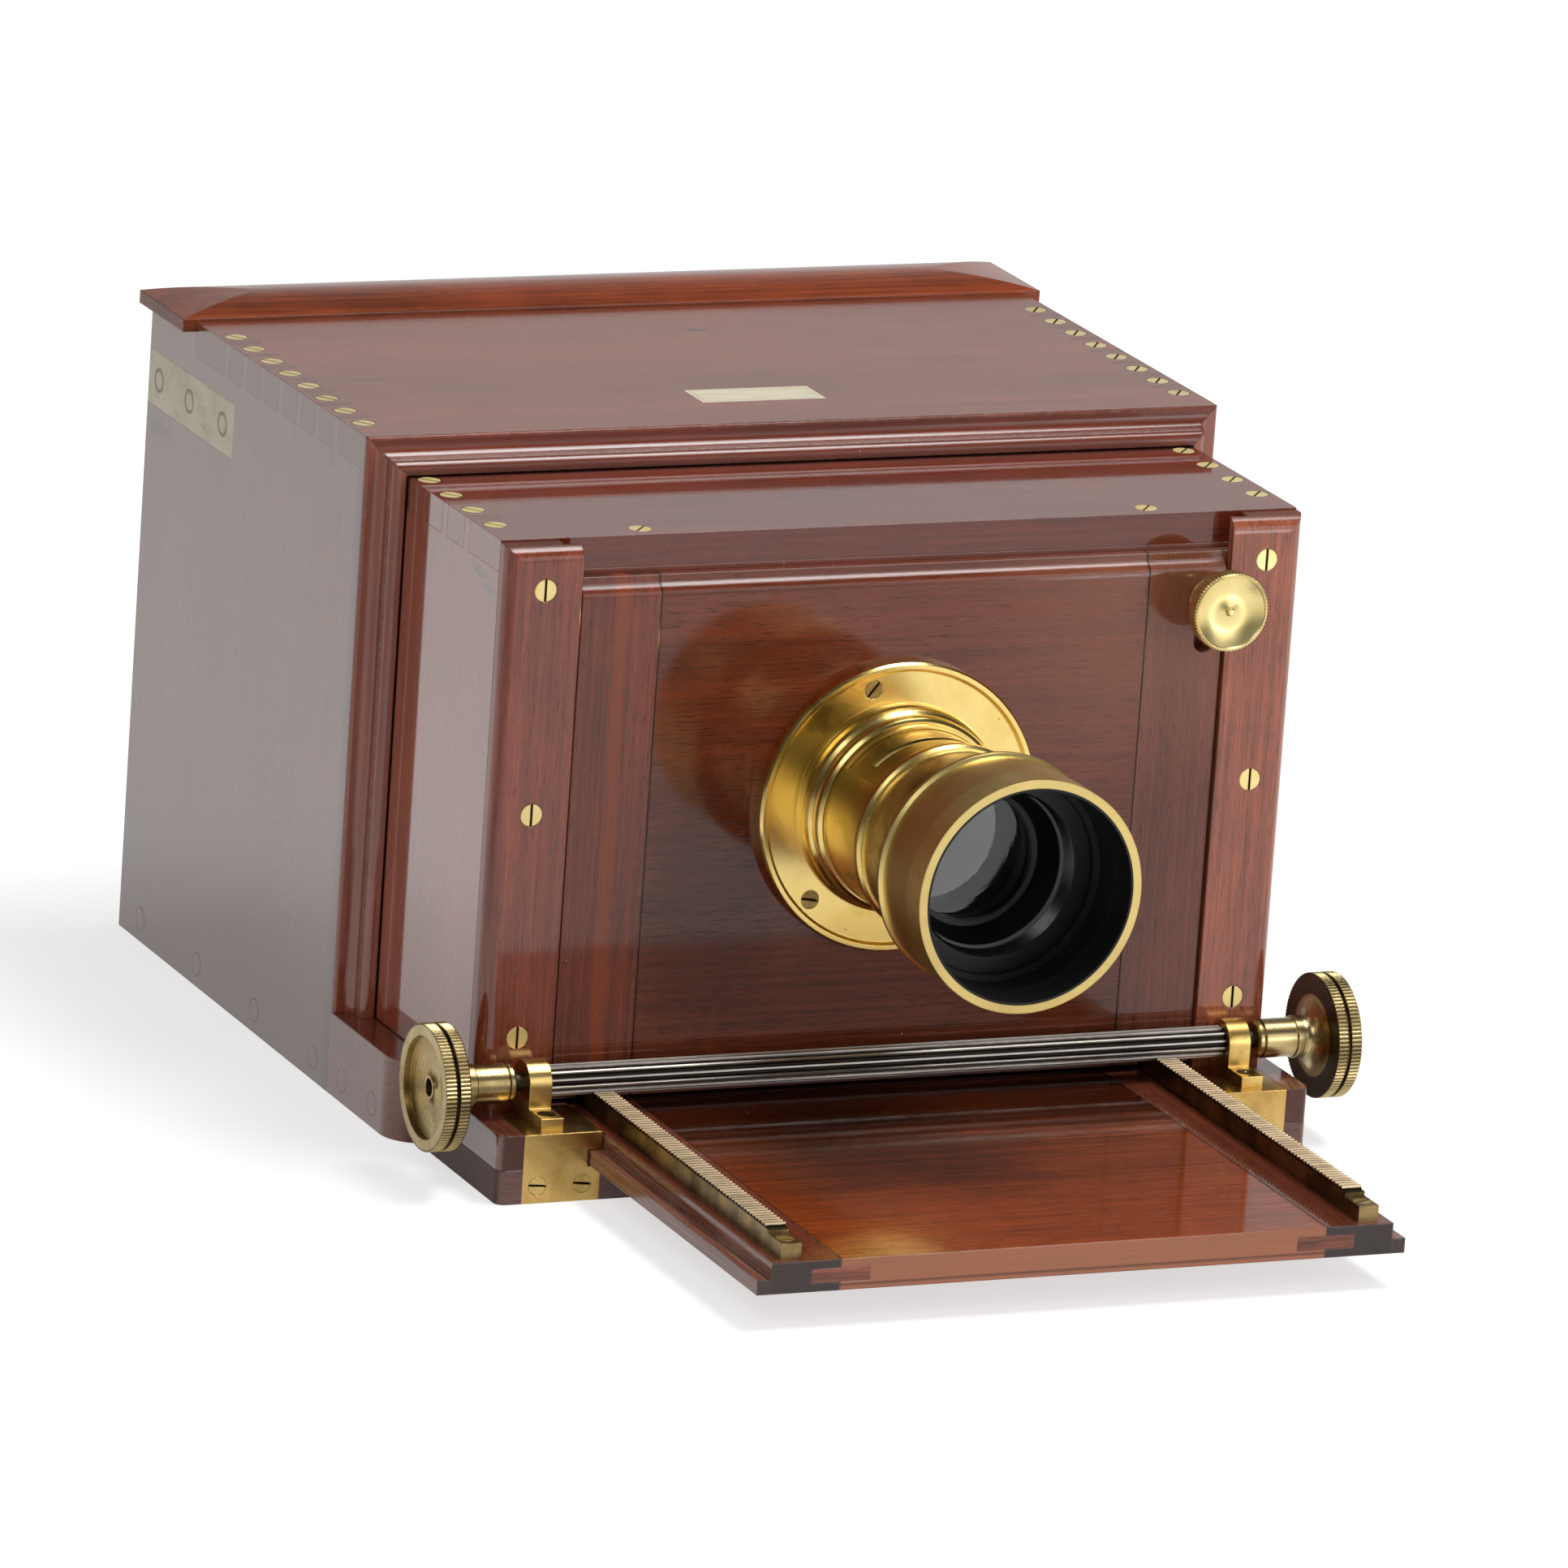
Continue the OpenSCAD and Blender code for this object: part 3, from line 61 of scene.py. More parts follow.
# %% A short way to add nodes
class Wires:
    def __init__(self, tree):
        self.tree = tree

    def put(self, socket, value):
        """Another node's output is linked to the socket, and a plain value is set on it."""
        if isinstance(value, bpy.types.NodeSocket):
            self.tree.links.new(value, socket)
        else:
            socket.default_value = value

    def add(self, kind, inputs=None, **options):
        node = self.tree.nodes.new(kind)
        for name, value in options.items():
            setattr(node, name, value)
        for name, value in (inputs or {}).items():
            self.put(node.inputs[name], value)
        return node

    def math(self, operation, a, b=0.5, c=0.5):
        return self.add("ShaderNodeMath", {0: a, 1: b, 2: c}, operation=operation).outputs[0]

    def times(self, *factors):
        product = factors[0]
        for factor in factors[1:]:
            product = self.math("MULTIPLY", product, factor)
        return product

    def vector(self, operation, a, b=(0, 0, 0)):
        node = self.add("ShaderNodeVectorMath", {0: a, 1: b}, operation=operation)
        return node.outputs["Value" if operation in ("LENGTH", "DOT_PRODUCT") else "Vector"]

    def stretch(self, vector, scale):
        return self.vector("MULTIPLY", vector, scale)

    def level(self, value, low, high, out_low=0.0, out_high=1.0):
        """A smooth step: out_low below low, out_high above high."""
        names = {"Value": value, "From Min": low, "From Max": high, "To Min": out_low, "To Max": out_high}
        return self.add("ShaderNodeMapRange", names, interpolation_type="SMOOTHSTEP").outputs["Result"]

    def between(self, value, rise, fall):
        """1 from the end of the step rise to the start of the step fall, and 0 beyond them."""
        return self.times(self.level(value, *rise), self.level(value, *fall, 1.0, 0.0))

    def noise(self, vector, scale, detail=4.0, roughness=0.55, distortion=0.0):
        names = {"Vector": vector, "Scale": scale, "Detail": detail, "Roughness": roughness,
                 "Distortion": distortion}
        return self.add("ShaderNodeTexNoise", names).outputs["Fac"]

    def spots(self, vector, scale):
        cells = self.add("ShaderNodeTexVoronoi", {"Vector": vector, "Scale": scale}, feature="F1")
        return cells.outputs["Distance"]

    def blend(self, amount, a, b):
        node = self.add("ShaderNodeMix", {0: amount, 6: a, 7: b}, data_type="RGBA", clamp_factor=True)
        return node.outputs[2]

    def cover(self, tint, mask, rgb, amount=None):
        """Lays a colour over tint where mask is 1, as strongly as amount says."""
        strength = mask if amount is None else self.math("MULTIPLY", mask, amount)
        return self.blend(strength, tint, colour(*rgb))


def colour(red, green, blue):
    """A colour as it is read off a screen, turned into the linear light that shaders work in."""
    def linear(v):
        v /= 255
        return v / 12.92 if v <= 0.04045 else ((v + 0.055) / 1.055) ** 2.4
    return (linear(red), linear(green), linear(blue), 1.0)


def new_group(name, inputs, outputs):
    tree = bpy.data.node_groups.new(name, "ShaderNodeTree")
    for label, kind, value in inputs:
        socket = tree.interface.new_socket(label, in_out="INPUT", socket_type="NodeSocket" + kind)
        if value is not None:
            socket.default_value = value
    for label, kind in outputs:
        tree.interface.new_socket(label, in_out="OUTPUT", socket_type="NodeSocket" + kind)
    wires = Wires(tree)
    return wires, wires.add("NodeGroupInput").outputs, wires.add("NodeGroupOutput").inputs


def place_group(wires, tree, inputs):
    return wires.add("ShaderNodeGroup", inputs, node_tree=tree).outputs


def new_material(name):
    material = bpy.data.materials.new(name)
    material.use_nodes = True
    material.node_tree.nodes.clear()
    wires = Wires(material.node_tree)
    shader = wires.add("ShaderNodeBsdfPrincipled")
    wires.add("ShaderNodeOutputMaterial", {0: shader.outputs[0]})
    in_mm = wires.stretch(wires.add("ShaderNodeTexCoord").outputs["Object"], [1 / MM] * 3)
    return material, wires, shader, in_mm


def plug(wires, shader, **inputs):
    for name, value in inputs.items():
        wires.put(shader.inputs[name.replace("_", " ")], value)


def finish_nodes(nodes, material):
    for node in nodes:
        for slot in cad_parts[node].material_slots:
            slot.material = material


print("helpers ready, 1 mm is", MM, "m")

# %% [markdown]
# Mahogany is a solid texture: the figure runs through the board, so the same wood shows long
# streaks on its faces and dots on its ends. Noise that is stretched along the board does this.
# The short dark dashes are its open pores, which is what tells mahogany from a plain brown wood.

# %% The mahogany group
w, given, out = new_group(
    "Mahogany grain",
    [("Along", "Vector", None), ("Figure", "Float", 1.0), ("Pores", "Float", 1.0)],
    [("Tone", "Float"), ("Pore", "Float"), ("Height", "Float")])
grain = w.tree
along = given["Along"]
bands = w.noise(w.stretch(along, (0.005, 0.035, 0.035)), 1.0, 2.0, 0.5, 0.6)
lines = w.noise(w.stretch(along, (0.012, 0.85, 0.85)), 1.0, 5.0, 0.62, 0.1)
fibres = w.noise(w.stretch(along, (0.06, 4.5, 4.5)), 1.0, 2.0, 0.6)
blotch = w.noise(w.stretch(along, (0.03, 0.03, 0.03)), 1.0, 4.0, 0.6, 1.2)
tone = w.math("MULTIPLY", blotch, 0.16)
for part, share in ((fibres, 0.24), (lines, 0.34), (bands, 0.26)):
    tone = w.math("MULTIPLY_ADD", part, share, tone)
tone = w.math("MULTIPLY_ADD", w.math("SUBTRACT", tone, 0.5), given["Figure"], 0.5)
pore_field = w.noise(w.stretch(along, (0.20, 3.2, 3.2)), 1.0, 2.0, 0.55, 0.1)
pore = w.times(w.level(pore_field, 0.58, 0.67), given["Pores"])
w.put(out["Tone"], w.level(tone, 0.36, 0.64))
w.put(out["Pore"], pore)
w.put(out["Height"], w.math("MULTIPLY_ADD", fibres, 0.25, w.times(pore, -1.0)))
print("group", grain.name, "sockets", len(grain.interface.items_tree))

# %% [markdown]
# Old polish is thinnest on the arrises, and the pale colour laid there is partly a painted highlight.
# The Bevel node rounds the shading at an edge, so where its normal leaves the true one there is an
# edge, and a little noise breaks the line up.
# Dust, tiny chips and smears are small, scattered spots and a slow change in the gloss.

# %% Edge wear, specks and smears
def soft_arris(w, millimetres):
    return w.add("ShaderNodeBevel", {"Radius": millimetres * MM}, samples=3).outputs[0]


w, given, out = new_group(
    "Edge wear",
    [("Place", "Vector", None), ("Rounded", "Vector", None), ("Amount", "Float", 0.5)],
    [("Mask", "Float")])
wear = w.tree
true_normal = w.add("ShaderNodeNewGeometry").outputs["Normal"]
bend = w.math("SUBTRACT", 1.0, w.vector("DOT_PRODUCT", given["Rounded"], true_normal))
patchy = w.noise(given["Place"], 0.35, 5.0, 0.7)
limit = w.math("SUBTRACT", 1.05, given["Amount"])
chipped = w.level(w.math("SUBTRACT", patchy, limit), -0.12, 0.12)
w.put(out["Mask"], w.times(w.level(bend, 0.02, 0.16), chipped))

w, given, out = new_group(
    "Specks and smears",
    [("Place", "Vector", None), ("Amount", "Float", 1.0)],
    [("Speck", "Float"), ("Smear", "Float"), ("Scratch", "Float")])
specks = w.tree
place = given["Place"]
dot = w.level(w.spots(place, 0.14), 0.018, 0.042, 1.0, 0.0)
some = w.level(w.noise(place, 0.05, 1.0), 0.45, 0.6)
w.put(out["Speck"], w.times(dot, some, given["Amount"]))
w.put(out["Smear"], w.noise(w.stretch(place, (0.03, 0.02, 0.05)), 1.0, 5.0, 0.62, 0.8))
line = w.noise(w.stretch(place, (0.9, 0.05, 0.07)), 1.0, 2.0, 0.5, 1.5)
scratch = w.level(w.math("ABSOLUTE", w.math("SUBTRACT", line, 0.5)), 0.0, 0.006, 1.0, 0.0)
w.put(out["Scratch"], w.times(scratch, w.level(w.noise(place, 0.06, 2.0), 0.52, 0.62)))
print("groups", wear.name, "and", specks.name)

# %% [markdown]
# Use leaves its marks in places that one can name: a dark line where two boards are glued, a
# ragged stain, the black ring of old polish and painted shade round a screw. Each is a distance, in
# millimetres, turned into a soft mask, so a few small helpers are enough for all of them.

# %% Marks that sit at a place
AXIS = {"x": (1, 0, 0), "y": (0, 1, 0), "z": (0, 0, 1)}


def measure(w, in_mm, axis):
    return w.vector("DOT_PRODUCT", in_mm, AXIS[axis])


def line_at(w, value, at, half):
    away = w.math("ABSOLUTE", w.math("SUBTRACT", value, at))
    return w.level(away, half * 0.4, half, 1.0, 0.0)


def stain(w, in_mm, centre, size, rag=0.5):
    """A ragged spot: 1 in its middle, 0 outside, drawn out as far as size says along x, y and z."""
    arm = w.stretch(w.vector("SUBTRACT", in_mm, centre), [1.0 / v for v in size])
    ragged = w.math("SUBTRACT", w.noise(in_mm, 0.35, 4.0, 0.7), 0.5)
    far = w.math("MULTIPLY_ADD", ragged, rag * 4.0, w.vector("LENGTH", arm))
    return w.level(far, 0.4, 1.1, 1.0, 0.0)


def from_nearest(w, value, first, step):
    """How far value is from the nearest member of a row that starts at first, with a sign."""
    start = w.math("SUBTRACT", value, first - step / 2)
    return w.math("SUBTRACT", w.math("FLOORED_MODULO", start, step), step / 2)


SCREW_HEAD_R = 2.8


def screw_polish_and_shade_rings(w, in_mm, across, step, first, last):
    """Rings of old polish and painted shade round a row of screws: across is how far the row lies from the
    middle of the camera.
    """
    side = w.math("SUBTRACT", w.math("ABSOLUTE", measure(w, in_mm, "x")), across)
    y = measure(w, in_mm, "y")
    row = from_nearest(w, y, first, step)
    far = w.math("SQRT", w.math("MULTIPLY_ADD", side, side, w.times(row, row)))
    within = w.times(w.math("GREATER_THAN", y, first - step / 2), w.math("LESS_THAN", y, last + step / 2))
    return w.times(line_at(w, far, SCREW_HEAD_R + 0.15, 0.45), within)


print("marks ready")

# %% [markdown]
# Each board gets its own mahogany, because no two boards were cut from the same place: its grain
# runs the way the joiner laid it, its figure starts somewhere else and its polish is its own.
# French polish is a hard clear film, so the board mirrors the studio sharply over dark wood. Where
# the film is thick a coat is laid over it, and it mirrors more.

# %% Polished mahogany
TURN = {"x": (0, 0, 0), "y": (0, 0, -math.pi / 2), "z": (0, math.pi / 2, 0)}
WOOD_SEED_STEP = (137.0, 61.0, 29.0)
SMEAR_GREY, DUST, SCRATCHED = (140, 126, 124), (214, 196, 184), (180, 140, 120)


def shade(body, factor, warmth=1.0):
    red, green, blue = body
    return colour(min(255, red * factor * warmth), min(255, green * factor), min(255, blue * factor / warmth))


def mahogany(name, runs, seed, body, figure=1.0, pores=0.8, rough=0.07, specular=0.5,
             coat=0.0, coat_rough=0.05, coat_ior=1.5, top_coat=0.0, haze=0.0, relief=0.06, arris_mm=0.6,
             worn=0.35, worn_and_highlight_colour=(168, 118, 94), end_dark=0.6, end_dull=0.4, end_tone=None, end_coat=0.0,
             extra=None):
    """runs is the axis of the grain, and body the colour. What begins with end is for end grain."""
    material, w, shader, in_mm = new_material(name)
    turned = w.add("ShaderNodeVectorRotate", {"Vector": in_mm, "Rotation": TURN[runs]},
                   rotation_type="EULER_XYZ")
    shifted = w.vector("ADD", turned.outputs[0], [v * seed for v in WOOD_SEED_STEP])
    wood = place_group(w, grain, {"Along": shifted, "Figure": figure, "Pores": pores})
    tones = w.add("ShaderNodeValToRGB", {0: wood["Tone"]})
    ramp = tones.color_ramp
    ramp.elements[0].position, ramp.elements[0].color = 0.0, shade(body, 0.60, 0.97)
    ramp.elements[1].position, ramp.elements[1].color = 1.0, shade(body, 1.25, 1.03)
    ramp.elements.new(0.5).color = shade(body, 1.0)
    tint = w.blend(w.times(wood["Pore"], 0.7), tones.outputs[0], shade(body, 0.3, 0.95))
    normal = w.add("ShaderNodeTexCoord").outputs["Normal"]
    facing = w.math("ABSOLUTE", w.vector("DOT_PRODUCT", normal, AXIS[runs]))
    end_grain = w.level(facing, 0.6, 0.95)
    end_colour = shade(end_tone, 0.95, 0.98) if end_tone else shade(body, 0.3, 0.98)
    tint = w.blend(w.times(end_grain, end_dark), tint, end_colour)
    arris = soft_arris(w, arris_mm)
    worn_edge = place_group(w, wear, {"Place": shifted, "Rounded": arris, "Amount": worn})["Mask"]
    dirt = place_group(w, specks, {"Place": shifted, "Amount": 0.8})
    if haze:
        tint = w.cover(tint, w.level(dirt["Smear"], 0.3, 0.75), SMEAR_GREY, haze)
    if extra:
        tint = extra(w, in_mm, tint)
    # pale edges: worn polish and partly a painted highlight along the arrises
    tint = w.cover(tint, worn_edge, worn_and_highlight_colour, 0.7)
    tint = w.cover(tint, dirt["Speck"], DUST, 0.7)
    tint = w.cover(tint, dirt["Scratch"], SCRATCHED, 0.08)
    gloss = w.math("MULTIPLY_ADD", dirt["Smear"], 0.08, rough - 0.04)
    gloss = w.math("MULTIPLY_ADD", worn_edge, 0.25, gloss)
    gloss = w.math("MULTIPLY_ADD", end_grain, end_dull, gloss)
    heights = {"Height": wood["Height"], "Strength": relief, "Distance": 0.0002, "Normal": arris}
    bump = w.add("ShaderNodeBump", heights)
    plug(w, shader, Base_Color=tint, Roughness=gloss, Normal=bump.outputs[0], Coat_Normal=arris)
    if coat or end_coat or top_coat:
        film = w.math("MULTIPLY_ADD", end_grain, end_coat - coat, coat)
        if top_coat:
            upward = w.vector("DOT_PRODUCT", normal, AXIS["z"])
            film = w.math("MAXIMUM", film, w.level(upward, 0.5, 0.95, 0.0, top_coat))
        plug(w, shader, Coat_Weight=w.times(film, w.math("SUBTRACT", 1.0, worn_edge)))
    plug(w, shader, Specular_IOR_Level=specular, Coat_Roughness=coat_rough, Coat_IOR=coat_ior)
    return material


print("directions of the grain", list(TURN))

# %% [markdown]
# The marks are placed by the camera's own measures, so these come first: x runs to the right, y
# to the back and z up, in millimetres. The rear box then gets a knot and rings of old polish and painted
# shade round its screws on top, and stains and a painted shade at the foot of its sides.

# %% Marks on the boards of the rear box
REAR_HALF_WIDTH, REAR_TOP = 115.0, 167.5
FRONT_HALF_WIDTH, FRONT_TOP = 106.0, 158.7
MOUTH_Y, TAIL_FRONT_Y = -7.0, -200.6
PANEL_JOINT_X, TAIL_JOINT_X, TONGUE_X = 65.0, 63.4, 80.7


def rear_top_marks(w, in_mm, tint):
    screws = screw_polish_and_shade_rings(w, in_mm, across=110.45, step=12.6, first=12.7, last=100.9)
    # old polish and painted shade round the screws
    tint = w.cover(tint, screws, (30, 20, 16), 0.8)
    knot = stain(w, in_mm, (12.0, 92.0, REAR_TOP), (5.0, 1.4, 3.0))
    return w.cover(tint, knot, (44, 22, 16), 0.8)


def rear_side_marks(w, in_mm, tint):
    # painted shade, darker towards the floor
    painted_foot_shade = w.level(measure(w, in_mm, "z"), 20.0, 80.0, 0.45, 0.0)
    tint = w.cover(tint, painted_foot_shade, (96, 58, 44))
    spots = w.math("MAXIMUM", stain(w, in_mm, (-REAR_HALF_WIDTH, 21.0, 157.0), (4.0, 1.8, 3.6)),
                   stain(w, in_mm, (-REAR_HALF_WIDTH, 14.0, 142.0), (4.0, 1.5, 5.0)))
    tint = w.cover(tint, spots, (92, 48, 38), 0.55)
    smudge = stain(w, in_mm, (-REAR_HALF_WIDTH, 139.0, 134.5), (4.0, 10.0, 3.2), 0.8)
    tint = w.cover(tint, smudge, (44, 32, 34), 0.7)
    front_strip = w.level(measure(w, in_mm, "y"), 1.0, 5.0, 0.75, 0.0)
    return w.cover(tint, front_strip, (70, 36, 28))


SIDE_BODY, PALE_ARRIS = (138, 90, 70), (196, 164, 150)
rear_top_wood = mahogany(
    "rear box top", "x", 1, (130, 66, 46), 0.45, 0.5, coat=0.15, coat_rough=0.15, rough=0.16, worn=0.5,
    arris_mm=0.3, end_dark=0.9, end_dull=0.0, end_tone=SIDE_BODY, end_coat=0.75, extra=rear_top_marks)
rear_side_wood = mahogany(
    "rear box sides", "z", 2, SIDE_BODY, 0.3, 0.3, coat=0.85, coat_rough=0.15, rough=0.17, worn=0.6,
    arris_mm=0.3, haze=0.15, end_dark=0.75, end_dull=0.05, end_tone=(104, 54, 40), end_coat=0.12,
    extra=rear_side_marks)
base_wood = mahogany("baseboard", "x", 3, (112, 60, 44), 0.5, coat=0.5, coat_rough=0.12, rough=0.14)
lipping_wood = mahogany(
    "lippings", "y", 4, (138, 78, 60), 0.5, coat=0.85, coat_rough=0.12, rough=0.14, worn=0.5)
moulding_x_wood = mahogany(
    "moulding across", "x", 5, (122, 60, 44), 0.4, 0.3, relief=0.01, rough=0.12, specular=0.4,
    top_coat=0.8, coat_rough=0.1, worn=0.55, worn_and_highlight_colour=PALE_ARRIS)
moulding_z_wood = mahogany(
    "moulding upright", "z", 6, (152, 80, 58), 0.4, 0.3, relief=0.01, coat=0.6, coat_rough=0.1,
    rough=0.12, worn=0.55, worn_and_highlight_colour=PALE_ARRIS)
cap_wood = mahogany(
    "screen cap", "x", 7, (132, 62, 34), 0.8, 0.3, rough=0.12, end_dark=0.05, end_dull=0.1,
    specular=0.3, worn_and_highlight_colour=(206, 150, 122))
print("rear box woods", rear_top_wood.name, rear_side_wood.name, cap_wood.name)

# %% [markdown]
# A thin line of painted shade, nearly black, marks where the mouth of the rear box meets the front
# box. The lens panel is bleached on the side that the light reached, and left of the lens it carries
# a painted shade of the lens.

# %% Marks on the boards of the front box
GLUE = (24, 11, 8)


def painted_mouth_shade(w, in_mm, tint, deep):
    """A thin line of painted shade, nearly black, where the boards stand in the mouth of the rear box."""
    rise, fall = (MOUTH_Y - deep, MOUTH_Y - deep * 0.6), (MOUTH_Y + 0.4, MOUTH_Y + 1.0)
    line = w.between(measure(w, in_mm, "y"), rise, fall)
    # painted shade, nearly black, in the gap at the mouth of the rear box
    return w.cover(tint, line, (10, 6, 5), 0.9)


def joint_line(w, in_mm, tint, x):
    """The dark line of glue at the same distance to the left and to the right."""
    line = line_at(w, w.math("ABSOLUTE", measure(w, in_mm, "x")), x, 0.35)
    return w.cover(tint, line, GLUE, 0.8)


def front_side_marks(w, in_mm, tint):
    smudge = w.math("MAXIMUM", stain(w, in_mm, (-FRONT_HALF_WIDTH, -56.0, 148.0), (3.0, 7.0, 1.6), 0.9),
                    stain(w, in_mm, (-FRONT_HALF_WIDTH, -63.0, 145.0), (3.0, 5.0, 1.2), 0.9))
    tint = w.cover(tint, smudge, (40, 34, 34), 0.7)
    return painted_mouth_shade(w, in_mm, tint, 1.1)


def front_top_marks(w, in_mm, tint):
    tint = painted_mouth_shade(w, in_mm, tint, 2.6)
    screws = screw_polish_and_shade_rings(w, in_mm, across=101.8, step=14.4, first=-53.8, last=90.2)
    # old polish and painted shade round the screws
    return w.cover(tint, screws, (30, 18, 14), 0.8)


def panel_marks(w, in_mm, tint):
    x, z = measure(w, in_mm, "x"), measure(w, in_mm, "z")
    bleached = w.times(w.level(x, 5.0, 60.0), w.level(z, 80.0, 125.0))
    tint = w.cover(tint, bleached, (176, 118, 92), 0.28)
    # painted shade of the lens: a soft dark patch on the panel, left of the flange
    deep = stain(w, in_mm, (-48.0, -73.0, 66.0), (22.0, 20.0, 42.0), 0.3)
    tint = w.cover(tint, deep, (60, 26, 16), 0.5)
    return joint_line(w, in_mm, tint, PANEL_JOINT_X)


def clamp_marks(w, in_mm, tint):
    drift = w.noise(w.stretch(in_mm, (0.05, 0.05, 0.02)), 1.0, 3.0)
    across = w.math("ADD", measure(w, in_mm, "x"), w.times(w.math("SUBTRACT", drift, 0.5), 5.0))
    streaks = w.math("ADD", w.times(line_at(w, across, -75.0, 2.6), 0.7),
                     w.times(line_at(w, across, -68.5, 1.2), 0.35))
    return panel_marks(w, in_mm, w.cover(tint, streaks, (150, 70, 36)))


FRONT_SIDE_BODY = (160, 80, 54)
front_top_wood = mahogany(
    "front box top", "x", 8, (118, 50, 32), 0.5, 0.5, relief=0.02, coat=0.3, coat_rough=0.03, rough=0.05,
    worn=0.45, arris_mm=0.3, end_dark=0.9, end_dull=0.0, end_tone=FRONT_SIDE_BODY, end_coat=1.0,
    coat_ior=1.6, extra=front_top_marks)
front_side_wood = mahogany(
    "front box sides", "z", 9, FRONT_SIDE_BODY, 0.4, 0.3, coat=1.0, coat_rough=0.03, rough=0.06,
    worn=0.45, arris_mm=0.3, end_dark=0.75, end_dull=0.0, end_tone=(104, 50, 34), end_coat=0.2,
    coat_ior=1.65, extra=front_side_marks)
cheek_left_wood = mahogany("left cheek", "z", 10, (150, 74, 52), 0.6, 0.7, coat=0.35, rough=0.06, worn=0.4)
cheek_right_wood = mahogany("right cheek", "z", 17, (178, 98, 72), 0.6, 0.7, coat=0.4, rough=0.06, worn=0.4)
panel_wood = mahogany("lens panel", "x", 11, (112, 54, 34), 0.6, 0.9, worn=0.3, extra=panel_marks)
wall_wood = mahogany("front wall", "x", 18, (120, 62, 46), 0.5, 0.6, rough=0.22, worn=0.3)
clamp_left_wood = mahogany("left panel clamp", "z", 12, (124, 62, 44), 0.6, worn=0.3, extra=clamp_marks)
clamp_right_wood = mahogany("right panel clamp", "z", 19, (118, 64, 48), 0.6, worn=0.3, extra=panel_marks)
print("front box woods", front_top_wood.name, panel_wood.name)

# %% [markdown]
# The tongues of the tailboard are rubbed pale by the rails that run on them, and their front ends
# are nearly black. Towards the box the board is darkened with painted shade from the front box.

# %% Marks on the tailboard and the base
def front_end(w, in_mm, strength):
    """A mask for the front end of the tailboard."""
    return w.level(measure(w, in_mm, "y"), TAIL_FRONT_Y + 0.2, TAIL_FRONT_Y + 0.5, strength, 0.0)


def tongue_marks(w, in_mm, tint):
    side = w.math("ABSOLUTE", measure(w, in_mm, "x"))
    rubbed = w.level(w.noise(w.stretch(in_mm, (1.6, 0.03, 1.6)), 1.0, 4.0, 0.7), 0.42, 0.62)
    rubbed = w.times(rubbed, w.level(side, TONGUE_X, TONGUE_X + 0.4))
    tint = w.cover(tint, rubbed, (158, 122, 104), 0.75)
    tint = joint_line(w, in_mm, tint, TAIL_JOINT_X)
    return w.cover(tint, front_end(w, in_mm, 1.0), (48, 42, 42), 0.8)


def tail_marks(w, in_mm, tint):
    tint = joint_line(w, in_mm, tint, TAIL_JOINT_X)
    tint = w.cover(tint, front_end(w, in_mm, 0.6), (200, 130, 94))
    # painted shade towards the front box, with a wavy edge
    waves = w.noise(w.stretch(in_mm, (0.02, 0.25, 0.2)), 1.0, 4.0, 0.6)
    inward = w.math("MULTIPLY_ADD", waves, 34.0, measure(w, in_mm, "y"))
    tint = w.cover(tint, w.level(inward, -110.0, -80.0, 0.0, 0.86), (36, 12, 6))
    groove = w.between(measure(w, in_mm, "z"), (9.6, 10.2), (10.3, 10.8))
    return w.cover(tint, groove, (40, 20, 14), 0.6)


GREY_ARRIS = (178, 146, 128)
tail_wood = mahogany("tailboard", "x", 13, (140, 64, 28), 0.7, rough=0.05, worn=0.45, extra=tail_marks)
tail_clamp_wood = mahogany(
    "tailboard clamps", "y", 14, (118, 60, 42), 0.6, rough=0.08, worn=0.6, worn_and_highlight_colour=GREY_ARRIS,
    end_dark=0.6, end_dull=0.2, extra=tongue_marks)
spline_wood = mahogany(
    "tailboard splines", "x", 24, (140, 76, 54), rough=0.15, worn=0.5, worn_and_highlight_colour=GREY_ARRIS)
rail_wood = mahogany("front base rails", "y", 15, (128, 70, 54), 0.5, coat=0.9, rough=0.1, worn=0.45)
screen_wood = mahogany("screen frame wood", "x", 20, (98, 52, 38), 0.6, rough=0.3, worn=0.4)
inner_wood = mahogany("inner wood", "x", 16, (44, 26, 20), rough=0.5, worn=0.2)
print("mahoganies", len([m for m in bpy.data.materials if m.use_nodes]))

# %% Which board is made of which wood
for material, nodes in (
        (rear_top_wood, ("rear_top",)), (rear_side_wood, ("rear_side_left", "rear_side_right")),
        (base_wood, ("rear_baseboard", "rear_frame", "front_base_plate")),
        (lipping_wood, ("base_lipping_left", "base_lipping_right", "side_pellets")),
        (moulding_x_wood, ("mouth_moulding_top",)),
        (moulding_z_wood, ("mouth_moulding_left", "mouth_moulding_right")),
        (cap_wood, ("screen_cap",)), (screen_wood, ("screen_frame",)),
        (inner_wood, ("screen_stop", "front_floor")), (tail_wood, ("tailboard",)),
        (tail_clamp_wood, ("tailboard_clamp_left", "tailboard_clamp_right")),
        (spline_wood, ("tailboard_splines",)), (front_top_wood, ("front_top",)),
        (front_side_wood, ("front_side_left", "front_side_right")), (wall_wood, ("front_wall",)),
        (cheek_left_wood, ("cheek_left",)), (cheek_right_wood, ("cheek_right",)),
        (rail_wood, ("front_base_rail_left", "front_base_rail_right")), (panel_wood, ("lens_panel",)),
        (clamp_left_wood, ("panel_clamp_left",)), (clamp_right_wood, ("panel_clamp_right",))):
    finish_nodes(nodes, material)
    print(material.name, "on", ", ".join(nodes))

# %% [markdown]
# Brass that was lacquered a century ago is bright where fingers and cloths reach it and brown
# where the lacquer failed. It is one metal, so one group gives the browning, and each fitting
# says how far it has gone. The lathe leaves fine rings round the axis that a part turned on.

